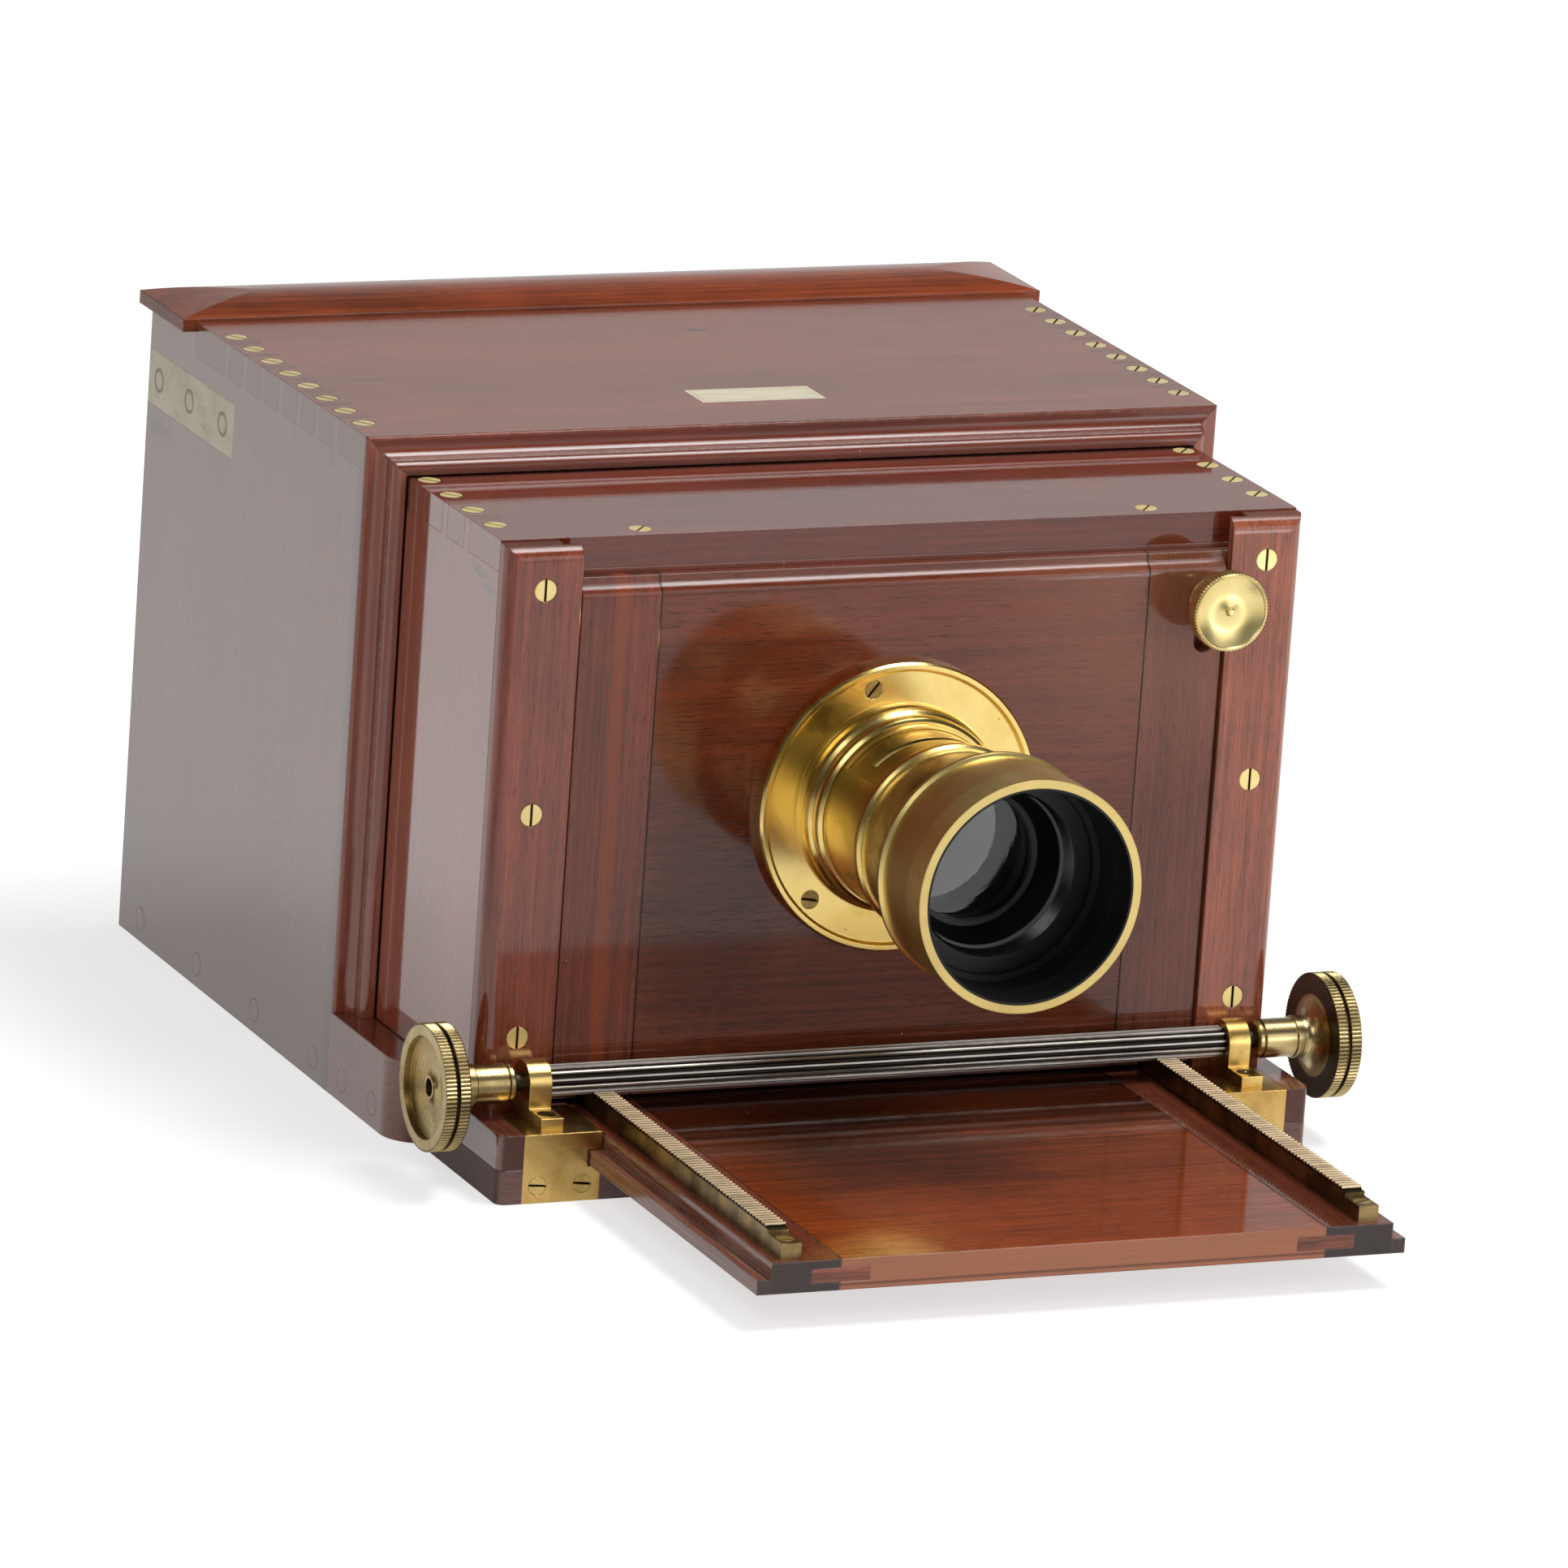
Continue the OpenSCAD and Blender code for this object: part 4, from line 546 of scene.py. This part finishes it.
# %% Browning and lathe rings
w, given, out = new_group(
    "Browning of brass",
    [("Place", "Vector", None), ("Amount", "Float", 0.4)],
    [("Brown", "Float"), ("Spot", "Float"), ("Cloud", "Float")])
browning = w.tree
place = given["Place"]
cloud = w.noise(place, 0.045, 6.0, 0.62, 0.6)
fine = w.noise(place, 0.6, 4.0, 0.7)
mixed = w.math("MULTIPLY_ADD", fine, 0.28, w.times(cloud, 0.72))
w.put(out["Brown"], w.level(w.math("ADD", mixed, given["Amount"]), 0.72, 1.08))
w.put(out["Spot"], w.times(w.level(w.spots(place, 0.22), 0.03, 0.10, 1.0, 0.0), w.level(cloud, 0.45, 0.6)))
w.put(out["Cloud"], cloud)

w, given, out = new_group(
    "Lathe rings",
    [("Place", "Vector", None), ("Centre", "Vector", None), ("Axis", "Vector", None),
     ("Spacing", "Float", 0.35)],
    [("Radius", "Float"), ("Depth", "Float"), ("Line", "Float")])
rings = w.tree
arm = w.vector("SUBTRACT", given["Place"], given["Centre"])
depth = w.vector("DOT_PRODUCT", arm, given["Axis"])
on_axis = w.add("ShaderNodeVectorMath", {0: given["Axis"], "Scale": depth}, operation="SCALE").outputs[0]
radius = w.vector("LENGTH", w.vector("SUBTRACT", arm, on_axis))
both = w.add("ShaderNodeCombineXYZ", {0: w.math("DIVIDE", radius, given["Spacing"]),
                                      1: w.math("DIVIDE", depth, given["Spacing"])}).outputs[0]
w.put(out["Radius"], radius)
w.put(out["Depth"], depth)
w.put(out["Line"], w.noise(both, 1.0, 3.0, 0.7))
print("groups", browning.name, "and", rings.name)

# %% The brass material
BRASS_SEED_STEP = (53.0, 17.0, 91.0)
BRIGHT, WARM, BROWN = (242, 214, 138), (222, 186, 104), (118, 88, 46)
TARNISH_SPOT, SLOT_DIRT_AND_SHADE = (88, 62, 34), (34, 24, 16)
SLOT_TOP, SLOT_FLOOR = 0.10, 0.30


def brass(name, seed, aged, rough=0.28, centre=None, axis=(0, 1, 0), bright=BRIGHT, warm=WARM, brown=BROWN,
          ring_depth=0.12, slot=None, metallic=1.0, extra=None):
    """aged is how far the browning has gone. slot is the way a screw faces and where its head ends."""
    material, w, shader, in_mm = new_material(name)
    shifted = w.vector("ADD", in_mm, [v * seed for v in BRASS_SEED_STEP])
    age = place_group(w, browning, {"Place": shifted, "Amount": aged})
    arris = soft_arris(w, 0.4)
    worn_edge = place_group(w, wear, {"Place": shifted, "Rounded": arris, "Amount": 0.6})["Mask"]
    tint = w.blend(w.level(age["Cloud"], 0.35, 0.7), colour(*bright), colour(*warm))
    tint = w.cover(tint, age["Brown"], brown)
    tint = w.cover(tint, age["Spot"], TARNISH_SPOT, 0.6)
    tint = w.cover(tint, worn_edge, bright, 0.3)
    gloss = w.math("MULTIPLY_ADD", age["Cloud"], 0.08, rough - 0.04)
    gloss = w.math("MULTIPLY_ADD", age["Brown"], 0.16, gloss)
    lathe = place_group(w, rings, {"Place": in_mm, "Centre": centre, "Axis": axis}) if centre else None
    height = lathe["Line"] if centre else w.noise(w.stretch(in_mm, (0.4, 3.0, 3.0)), 1.0, 3.0, 0.6)
    if slot:
        direction, face = slot
        along_screw = w.vector("DOT_PRODUCT", in_mm, direction)
        below = w.level(along_screw, face - SLOT_FLOOR, face - SLOT_TOP, 1.0, 0.0)
        # dirt and painted shade fill the slot of a screw
        tint = w.cover(tint, below, SLOT_DIRT_AND_SHADE, 0.92)
        gloss = w.math("ADD", gloss, w.times(below, 0.3))
    if extra:
        tint, gloss, metallic = extra(w, in_mm, lathe, tint, gloss)
    heights = {"Height": height, "Strength": ring_depth, "Distance": 0.0001, "Normal": arris}
    bump = w.add("ShaderNodeBump", heights)
    plug(w, shader, Base_Color=tint, Roughness=gloss, Metallic=metallic, Normal=bump.outputs[0])
    return material


LENS_AXIS, PINION_AXIS = (0, 1, 0), (1, 0, 0)
LENS_CENTRE = (0.0, -76.1, 89.2)
PINION_CENTRE = (0.0, -79.8, 25.54)
KNOB_CENTRE = (81.0, -73.0, 138.0)
HOOD_START, HOOD_LENGTH, HOOD_BORE = 54.2, 25.4, 27.0
HOOD_RIM_Y = LENS_CENTRE[1] - HOOD_START - HOOD_LENGTH
print("hood rim at y", round(HOOD_RIM_Y, 1), "mm")

# %% [markdown]
# A fitting that is black inside, browned at its neck or rubbed at its rim needs one more function.
# It measures along the axis and out from it, and says where the brass changes. Black lacquer isn't
# metal, so where it lies the metal is taken away as well.

# %% Where the lens brass is brown, black or rubbed
LACQUER_BLACK = (13, 12, 12)
BARREL_BORE, NOSE_Y, SEAT_Y, NECK_Y, HOOD_RIDGE_Y = 21.0, -130.8, -129.0, -109.3, -146.5
UNDER_SLEEVE_Y = (-104.6, -84.8)


def flange_patina(w, in_mm, lathe, tint, gloss):
    brown = stain(w, in_mm, (-22.0, -76.0, 113.0), (4.0, 6.0, 5.0), 0.8)
    tint = w.cover(tint, brown, (116, 84, 40), 0.4)
    copper = w.times(brown, w.level(w.noise(in_mm, 1.4, 3.0, 0.7), 0.58, 0.66))
    return w.cover(tint, copper, (204, 152, 108), 0.7), gloss, 1.0


def hood_patina(w, in_mm, lathe, tint, gloss):
    y = measure(w, in_mm, "y")
    inner = w.times(w.level(lathe["Radius"], HOOD_BORE - 0.1, HOOD_BORE + 0.1, 1.0, 0.0),
                    w.level(y, HOOD_RIM_Y - 0.3, HOOD_RIM_Y - 0.2))
    rim = w.level(y, HOOD_RIM_Y + 0.02, HOOD_RIM_Y + 0.25, 1.0, 0.0)
    tint = w.cover(tint, rim, (206, 182, 120), 0.6)
    tint = w.cover(tint, inner, LACQUER_BLACK)
    ridge = w.times(inner, line_at(w, y, HOOD_RIDGE_Y, 0.35))
    tint = w.cover(tint, ridge, (70, 68, 66), 0.5)
    gloss = w.math("MULTIPLY_ADD", rim, 0.12, gloss)
    gloss = w.math("MULTIPLY_ADD", inner, 0.16, gloss)
    return tint, gloss, w.math("SUBTRACT", 1.0, inner)


def barrel_patina(w, in_mm, lathe, tint, gloss):
    y = measure(w, in_mm, "y")
    inner = w.math("MAXIMUM", w.level(lathe["Radius"], BARREL_BORE, BARREL_BORE + 0.1, 1.0, 0.0),
                   w.level(y, NOSE_Y, NOSE_Y + 0.2, 1.0, 0.0))
    neck = w.times(w.level(y, NECK_Y, NECK_Y + 0.6, 1.0, 0.0), 0.85)
    patchy = w.level(w.noise(in_mm, 0.08, 4.0, 0.6), 0.3, 0.65)
    tint = w.cover(tint, neck, (122, 90, 48), patchy)
    front, back = UNDER_SLEEVE_Y
    sheltered = w.between(y, (front, front + 0.2), (back - 0.2, back))
    tint = w.cover(tint, sheltered, (170, 140, 72), 0.65)
    tint = w.cover(tint, inner, LACQUER_BLACK)
    seat = w.times(inner, line_at(w, y, SEAT_Y, 0.5))
    tint = w.cover(tint, seat, (120, 116, 110), 0.8)
    gloss = w.math("ADD", w.math("MULTIPLY_ADD", neck, 0.12, gloss), w.times(inner, 0.1))
    return tint, gloss, w.math("SUBTRACT", 1.0, inner)


def head_patina(w, in_mm, lathe, tint, gloss):
    """out is how far a point lies from the middle of the camera, and radius how far from the axis."""
    out, radius = w.math("ABSOLUTE", lathe["Depth"]), lathe["Radius"]
    back = w.times(w.between(out, (115.7, 115.9), (116.15, 116.35)), w.level(radius, 10.0, 10.6))
    groove = w.times(w.between(radius, (13.6, 13.9), (14.3, 14.8)),
                     w.between(out, (118.6, 118.8), (119.5, 119.7)))
    knurl = w.between(radius, (15.15, 15.25), (15.32, 15.62))
    tint = w.cover(tint, back, (64, 50, 38), 0.92)
    tint = w.cover(tint, w.math("MAXIMUM", groove, w.times(knurl, 0.85)), (52, 42, 28))
    return tint, w.math("MULTIPLY_ADD", back, 0.1, gloss), 1.0


LENS_WARM = (226, 196, 112)
flange_brass = brass("lens flange brass", 1, 0.14, 0.20, LENS_CENTRE, LENS_AXIS, warm=LENS_WARM,
                     ring_depth=0.03, extra=flange_patina)
sleeve_brass = brass("stop sleeve brass", 2, 0.15, 0.24, LENS_CENTRE, LENS_AXIS, warm=LENS_WARM,
                     ring_depth=0.03)
barrel_brass = brass("lens barrel brass", 3, 0.16, 0.25, LENS_CENTRE, LENS_AXIS, warm=LENS_WARM,
                     ring_depth=0.03, extra=barrel_patina)
hood_brass = brass("lens hood brass", 4, 0.20, 0.34, LENS_CENTRE, LENS_AXIS, bright=(236, 212, 138),
                   warm=(218, 190, 116), brown=(166, 138, 84), ring_depth=0.05, extra=hood_patina)
knob_brass = brass("clamp knob brass", 5, 0.04, 0.33, KNOB_CENTRE, LENS_AXIS, bright=(246, 226, 160),
                   warm=(232, 208, 138), ring_depth=0.06)
head_brass = brass("milled head brass", 6, 0.30, 0.26, PINION_CENTRE, PINION_AXIS, bright=(196, 176, 126),
                   warm=(168, 144, 96), brown=(128, 104, 64), extra=head_patina)
print("lens brasses", flange_brass.name, hood_brass.name)

# %% Brass of the plates, brackets and screws
UP, FORWARD = (0, 0, 1), (0, -1, 0)
PLATE_FACE, CHEEK_FACE, RACK_SEAT = 96.6, 74.0, 20.5
STRAP_SCREWS_Y, STRAP_SCREWS_Z = (95.4, 119.0, 140.7), 146.4

plate_brass = brass("corner plate brass", 7, 0.22, 0.27, bright=(210, 176, 108), warm=(182, 146, 82),
                    ring_depth=0.2)
bracket_brass = brass("pinion bracket brass", 8, 0.22, bright=(236, 206, 132), warm=(210, 174, 98))
plate_screw_brass = brass("plate screw brass", 12, 0.26, 0.3, bright=(214, 186, 118), warm=(190, 158, 92),
                          slot=(FORWARD, PLATE_FACE))
cheek_screw_brass = brass("cheek screw brass", 9, 0.12, 0.36, bright=(240, 218, 156), warm=(224, 198, 130),
                          slot=(FORWARD, CHEEK_FACE))
front_screw_brass = brass("front top screw brass", 13, 0.10, 0.5, bright=(255, 234, 168),
                          warm=(244, 218, 150), slot=(UP, FRONT_TOP), metallic=0.5)
rear_screw_brass = brass("rear top screw brass", 10, 0.18, 0.5, bright=(246, 226, 170), warm=(222, 198, 142),
                         brown=(150, 130, 88), slot=(UP, REAR_TOP), metallic=0.5)
rack_screw_brass = brass("rack screw brass", 14, 0.24, 0.36, bright=(226, 198, 130), warm=(196, 164, 98),
                         slot=(UP, RACK_SEAT))
flange_screw_brass = brass("flange screw brass", 15, 0.34, 0.36, bright=(204, 178, 118),
                           warm=(170, 144, 88), slot=(FORWARD, -LENS_CENTRE[1]))


def strap_patina(w, in_mm, lathe, tint, gloss):
    """The thin dark outline of old polish and painted shade round each of the three screws of a strap."""
    flat = w.stretch(in_mm, (0.0, 1.0, 1.0))
    outline = 0.0
    for y in STRAP_SCREWS_Y:
        far = w.vector("LENGTH", w.vector("SUBTRACT", flat, (0.0, y, STRAP_SCREWS_Z)))
        outline = w.math("MAXIMUM", outline, line_at(w, far, SCREW_HEAD_R + 0.05, 0.5))
    grime = w.level(w.noise(w.stretch(in_mm, (0.3, 0.12, 0.3)), 1.0, 5.0, 0.7), 0.5, 0.75)
    tint = w.cover(tint, grime, (128, 112, 96), 0.4)
    # old polish and painted shade round the strap screws
    return w.cover(tint, outline, (92, 76, 60), 0.7), gloss, 1.0


strap_brass = brass("strap brass", 11, 0.1, 0.45, bright=(188, 180, 162), warm=(176, 166, 146),
                    brown=(146, 134, 112), extra=strap_patina)
print("brasses", sum("brass" in m.name for m in bpy.data.materials))

# %% Which fitting is made of which brass
for material, nodes in (
        (flange_brass, ("lens_flange",)), (flange_screw_brass, ("flange_screws",)),
        (sleeve_brass, ("stop_sleeve",)), (barrel_brass, ("lens_barrel",)), (hood_brass, ("lens_hood",)),
        (knob_brass, ("clamp_knob",)), (head_brass, ("milled_head_left", "milled_head_right")),
        (plate_brass, ("corner_plate_left", "corner_plate_right", "clamp_nut", "tripod_bush")),
        (plate_screw_brass, ("brass_plate_screws",)),
        (bracket_brass, ("pinion_bracket_left", "pinion_bracket_right")),
        (cheek_screw_brass, ("cheek_screws",)), (front_screw_brass, ("front_top_screws",)),
        (rear_screw_brass, ("rear_top_screws",)), (rack_screw_brass, ("rack_screws",)),
        (strap_brass, ("strap_left", "strap_right", "strap_screws"))):
    finish_nodes(nodes, material)
    print(material.name, "on", ", ".join(nodes))

# %% [markdown]
# The racks and the pinion are toothed. Use has rubbed the tips bright, while oil and dust fill the
# gaps. On the pinion the distance from the axis tells tip from root. On the racks the height does
# that, and the place along the row says where a gap between two teeth is.

# %% Pinion and racks
RACK_PITCH, RACK_TOOTH_FOOT = 1.8, 21.3


def dim(rgb, factor):
    return [v * factor for v in rgb]


def toothed(name, root_tone, tip_tone, height_of, root, tip, rough, extra=None):
    """height_of measures a point's height, and root and tip are the heights where it starts and ends."""
    material, w, shader, in_mm = new_material(name)
    unevenness = w.math("SUBTRACT", w.noise(in_mm, 0.5, 3.0), 0.5)
    rubbed = w.level(w.math("MULTIPLY_ADD", unevenness, 0.3, height_of(w, in_mm)), root, tip)
    cloud = w.noise(w.stretch(in_mm, (0.04, 0.3, 0.3)), 1.0, 4.0, 0.6)
    tint = w.blend(rubbed, colour(*root_tone), colour(*tip_tone))
    if extra:
        tint = extra(w, in_mm, tint)
    tint = w.cover(tint, w.level(cloud, 0.45, 0.7), dim(tip_tone, 0.55), 0.35)
    gloss = w.math("MULTIPLY_ADD", cloud, 0.2, rough - 0.1)
    bump = w.add("ShaderNodeBump", {"Height": cloud, "Strength": 0.15, "Distance": 0.0002})
    plug(w, shader, Base_Color=tint, Roughness=gloss, Metallic=1.0, Normal=bump.outputs[0])
    return material


def from_pinion_axis(w, in_mm):
    return place_group(w, rings, {"Place": in_mm, "Centre": PINION_CENTRE, "Axis": PINION_AXIS})["Radius"]


def above_floor(w, in_mm):
    return measure(w, in_mm, "z")


RACK_DIRT, RACK_SIDE = (30, 22, 16), (158, 134, 90)


def rack_marks(w, in_mm, tint):
    """Dark gaps between the teeth, and the plainer, patchy brass of the bar below them."""
    z = measure(w, in_mm, "z")
    off_tooth = w.math("ABSOLUTE", from_nearest(w, measure(w, in_mm, "y"), PINION_CENTRE[1], RACK_PITCH))
    gap = w.times(w.level(off_tooth, 0.38, 0.62), w.level(z, RACK_TOOTH_FOOT + 0.05, RACK_TOOTH_FOOT + 0.25))
    tint = w.cover(tint, gap, RACK_DIRT)
    below = w.level(z, RACK_TOOTH_FOOT, RACK_TOOTH_FOOT + 0.15, 1.0, 0.0)
    patchy = w.level(w.noise(in_mm, 0.1, 4.0, 0.6), 0.35, 0.65)
    return w.blend(below, tint, w.blend(patchy, colour(*RACK_SIDE), colour(*dim(RACK_SIDE, 0.62))))


pinion_steel = toothed("pinion steel", (62, 56, 52), (192, 186, 178), from_pinion_axis, 3.2, 3.75, 0.45)
rack_brass = toothed("rack brass", RACK_DIRT, (222, 198, 162), above_floor, 21.8, 22.2, 0.42, rack_marks)
finish_nodes(("pinion_shaft",), pinion_steel)
finish_nodes(("rack_left", "rack_right"), rack_brass)
print("toothed", pinion_steel.name, rack_brass.name)

# %% [markdown]
# Three small things remain: the bone plaque, the ground glass and the lens glasses. Bone is warm
# and slightly cloudy. The ground glass is rough on one side. The lens glass is clear, and the
# grey that one sees in it is only the pale room mirrored in its faces.

# %% Bone and glass
PLAQUE_CENTRE, FRAME_HALF_X, FRAME_HALF_Y = (0.0, 26.5, REAR_TOP), 15.4, 5.0

bone, w, shader, in_mm = new_material("bone")
cloud = w.noise(w.stretch(in_mm, (0.05, 0.4, 0.4)), 1.0, 4.0, 0.6)
tint = w.blend(w.level(cloud, 0.3, 0.7), colour(244, 230, 200), colour(230, 212, 176))
away = w.vector("ABSOLUTE", w.vector("SUBTRACT", in_mm, PLAQUE_CENTRE))
away_x, away_y = w.add("ShaderNodeSeparateXYZ", {0: away}).outputs[:2]
from_frame = w.math("MINIMUM", w.math("ABSOLUTE", w.math("SUBTRACT", away_x, FRAME_HALF_X)),
                    w.math("ABSOLUTE", w.math("SUBTRACT", away_y, FRAME_HALF_Y)))
inside = w.times(w.math("LESS_THAN", away_x, FRAME_HALF_X + 0.1),
                 w.math("LESS_THAN", away_y, FRAME_HALF_Y + 0.1))
scribed = w.times(w.level(from_frame, 0.04, 0.16, 1.0, 0.0), inside)
tint = w.cover(tint, scribed, (120, 104, 80), 0.7)
plug(w, shader, Base_Color=tint, Roughness=w.math("MULTIPLY_ADD", cloud, 0.1, 0.3), Subsurface_Weight=0.1)
finish_nodes(("inlaid_plaque",), bone)

ground, w, shader, in_mm = new_material("ground glass")
cloud = w.noise(in_mm, 3.0, 3.0)
plug(w, shader, Base_Color=w.blend(cloud, colour(176, 186, 182), colour(150, 162, 158)),
     Roughness=w.math("MULTIPLY_ADD", cloud, 0.2, 0.4), Coat_Weight=0.3)
finish_nodes(("ground_glass",), ground)

clear, w, shader, in_mm = new_material("lens glass")
dust = w.noise(in_mm, 0.7, 3.0)
plug(w, shader, Base_Color=w.blend(dust, colour(244, 248, 246), colour(236, 240, 238)),
     Roughness=w.times(dust, 0.01), Transmission_Weight=1.0, IOR=1.8)
finish_nodes(("front_lens", "rear_lens"), clear)
print("small finishes", bone.name, ground.name, clear.name)

# %% [markdown]
# Inside the hood the black nose of the barrel is cut with a fine thread. A lathe makes such a part,
# so it is drawn as one outline and turned round the axis in mesh code.

# %% A lathe in mesh code
def lathe_piece(name, outline, centre, segments):
    """outline holds (radius, forward) pairs in mm; forward is towards the front of the camera."""
    mesh = bmesh.new()
    rows = []
    for k in range(segments):
        angle = 2 * math.pi * k / segments
        rows.append([
            mesh.verts.new((centre[0] * MM + radius * MM * math.cos(angle), (centre[1] - forward) * MM,
                            centre[2] * MM + radius * MM * math.sin(angle)))
            for radius, forward in outline])
    for k in range(segments):
        here, there = rows[k], rows[(k + 1) % segments]
        for n in range(len(outline)):
            m = (n + 1) % len(outline)
            mesh.faces.new((here[n], here[m], there[m], there[n]))
    bmesh.ops.recalc_face_normals(mesh, faces=mesh.faces)
    for face in mesh.faces:
        face.smooth = True
    data = bpy.data.meshes.new(name)
    mesh.to_mesh(data)
    mesh.free()
    piece = bpy.data.objects.new(name, data)
    bpy.context.collection.objects.link(piece)
    data.set_sharp_from_angle(angle=math.radians(32))
    return piece


print("lathe ready")

# %% The thread in the black nose
TURNS, THREAD_PITCH = 9, 0.58
THREAD_BACK, THREAD_FRONT = 53.6, 58.9
OUTSIDE_R, ROOT_R, CREST_R = 20.75, 20.62, 20.28

thread = [(OUTSIDE_R, THREAD_BACK), (OUTSIDE_R, THREAD_FRONT)]
for turn in range(TURNS, 0, -1):
    root = THREAD_BACK + THREAD_PITCH * turn
    thread += [(ROOT_R, root), (CREST_R, root - THREAD_PITCH / 2)]
nose_thread = lathe_piece("nose_thread", thread, LENS_CENTRE, 96)
black, w, shader, in_mm = new_material("black lacquer")
lacquer = w.noise(in_mm, 0.6, 4.0, 0.6)
bump = w.add("ShaderNodeBump", {"Height": lacquer, "Strength": 0.1, "Distance": 0.0001})
plug(w, shader, Base_Color=w.blend(lacquer, colour(12, 12, 12), colour(26, 25, 25)),
     Roughness=w.math("MULTIPLY_ADD", lacquer, 0.2, 0.16), Normal=bump.outputs[0])
nose_thread.data.materials.append(black)
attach(nose_thread, "lens_board")
print("thread turns", TURNS)

# %% [markdown]
# The studio is a white floor that runs on behind, a pale world, three soft lamps and a small card
# low on the right that gives the tailboard its glint. The floor is seen whiter than it mirrors, and
# its mirror image is darker to the left of the box, so that the polish stays deep.

# %% Lamps
def area(name, place, aim, width, height, power):
    lamp = bpy.data.lights.new(name, "AREA")
    lamp.shape, lamp.size, lamp.size_y, lamp.energy = "RECTANGLE", width, height, power
    thing = bpy.data.objects.new(name, lamp)
    thing.location = place
    thing.rotation_euler = (Vector(aim) - Vector(place)).to_track_quat("-Z", "Y").to_euler()
    bpy.context.collection.objects.link(thing)


middle = (lowest + highest) / 2
area("soft lamp above", (0.5, -0.25, 1.75), middle, 0.95, 0.6, 19)
area("soft lamp left", (-1.3, -1.7, 1.6), middle, 1.0, 1.0, 9)
area("soft lamp right", (1.3, -2.1, 0.85), middle, 1.7, 1.2, 9)
area("low card right", (0.60, -0.92, 0.12), (0.0, -0.12, 0.09), 0.32, 0.22, 0.9)
print("lamps", len(bpy.data.lights))

# %% Floor
FLOOR_REACH, FLOOR_GAP = 12.0, 0.0002
MIRRORED_GLOW, SEEN_GLOW, FAR_GLOW = 0.48, 0.16, 0.52

corners = [(x * FLOOR_REACH, y * FLOOR_REACH, 0) for x, y in ((-1, -1), (1, -1), (1, 1), (-1, 1))]
floor_mesh = bpy.data.meshes.new("floor")
floor_mesh.from_pydata(corners, [], [(0, 1, 2, 3)])
floor = bpy.data.objects.new("floor", floor_mesh)
bpy.context.collection.objects.link(floor)
floor.location.z = lowest.z - FLOOR_GAP
paper, w, shader, in_mm = new_material("floor paper")
fleck = w.noise(in_mm, 0.02, 2.0)
path = w.add("ShaderNodeLightPath").outputs
mirrored = w.math("MAXIMUM", path["Is Glossy Ray"], path["Is Transmission Ray"])
lit = w.math("MAXIMUM", path["Is Camera Ray"], mirrored)
east, north = w.add("ShaderNodeSeparateXYZ", {0: w.stretch(in_mm, [MM] * 3)}).outputs[:2]
shaded = w.times(w.level(east, -0.45, -0.25, 1.0, 0.0), w.level(north, -0.1, 0.1, 1.0, 0.0))
kept = w.math("SUBTRACT", 1.0, w.times(shaded, mirrored, 0.9))
from_middle = w.math("SQRT", w.math("MULTIPLY_ADD", east, east, w.times(north, north)))
seen = w.times(path["Is Camera Ray"], w.level(from_middle, 0.7, 2.2, SEEN_GLOW, FAR_GLOW))
glow = w.math("ADD", seen, w.times(lit, kept, MIRRORED_GLOW))
plug(w, shader, Base_Color=w.blend(fleck, (0.61, 0.61, 0.61, 1), (0.63, 0.63, 0.63, 1)), Roughness=0.9,
     Emission_Color=(1, 1, 1, 1), Emission_Strength=glow)
floor_mesh.materials.append(paper)
print("floor", FLOOR_REACH * 2, "m wide")

# %% World
DIFFUSE_SKY, ROOM_GLOW, BACKDROP_GLOW = 0.25, 0.06, 0.60

world = bpy.data.worlds.new("studio")
bpy.context.scene.world = world
world.use_nodes = True
w = Wires(world.node_tree)
world.node_tree.nodes.clear()
path = w.add("ShaderNodeLightPath").outputs
mirrored = w.math("MAXIMUM", path["Is Glossy Ray"], path["Is Transmission Ray"])
toward = w.add("ShaderNodeSeparateXYZ", {0: w.add("ShaderNodeTexCoord").outputs["Generated"]}).outputs
height, behind = toward[2], toward[1]
backdrop = w.times(w.level(behind, -0.1, 0.5), w.level(height, 0.05, 0.75, BACKDROP_GLOW, ROOM_GLOW))
room = w.math("ADD", backdrop, ROOM_GLOW)
strength = w.add("ShaderNodeMix", {0: mirrored, 2: DIFFUSE_SKY, 3: room}).outputs[0]
strength = w.math("MAXIMUM", strength, path["Is Camera Ray"])
sky = w.add("ShaderNodeBackground", {"Color": (1, 1, 1, 1), "Strength": strength})
w.add("ShaderNodeOutputWorld", {0: sky.outputs[0]})
print("world", world.name)

# %% [markdown]
# The camera stands to the left of the lens and above it, far away with a long lens, as the
# photographer's did. Its place and its turn were fitted to the edges of the real one.

# %% The camera
lens = bpy.data.cameras.new("view")
lens.sensor_width, lens.lens = 36.0, 298.56
lens.clip_start, lens.clip_end = 0.1, 30.0
viewer = bpy.data.objects.new("view", lens)
viewer.location = (-1.28204, -2.85875, 0.93591)
viewer.rotation_euler = (1.30170, -0.06672, -0.40418)
bpy.context.collection.objects.link(viewer)
bpy.context.scene.camera = viewer
bpy.context.scene.view_settings.view_transform = "Standard"
print("camera at", [round(v, 3) for v in viewer.location])
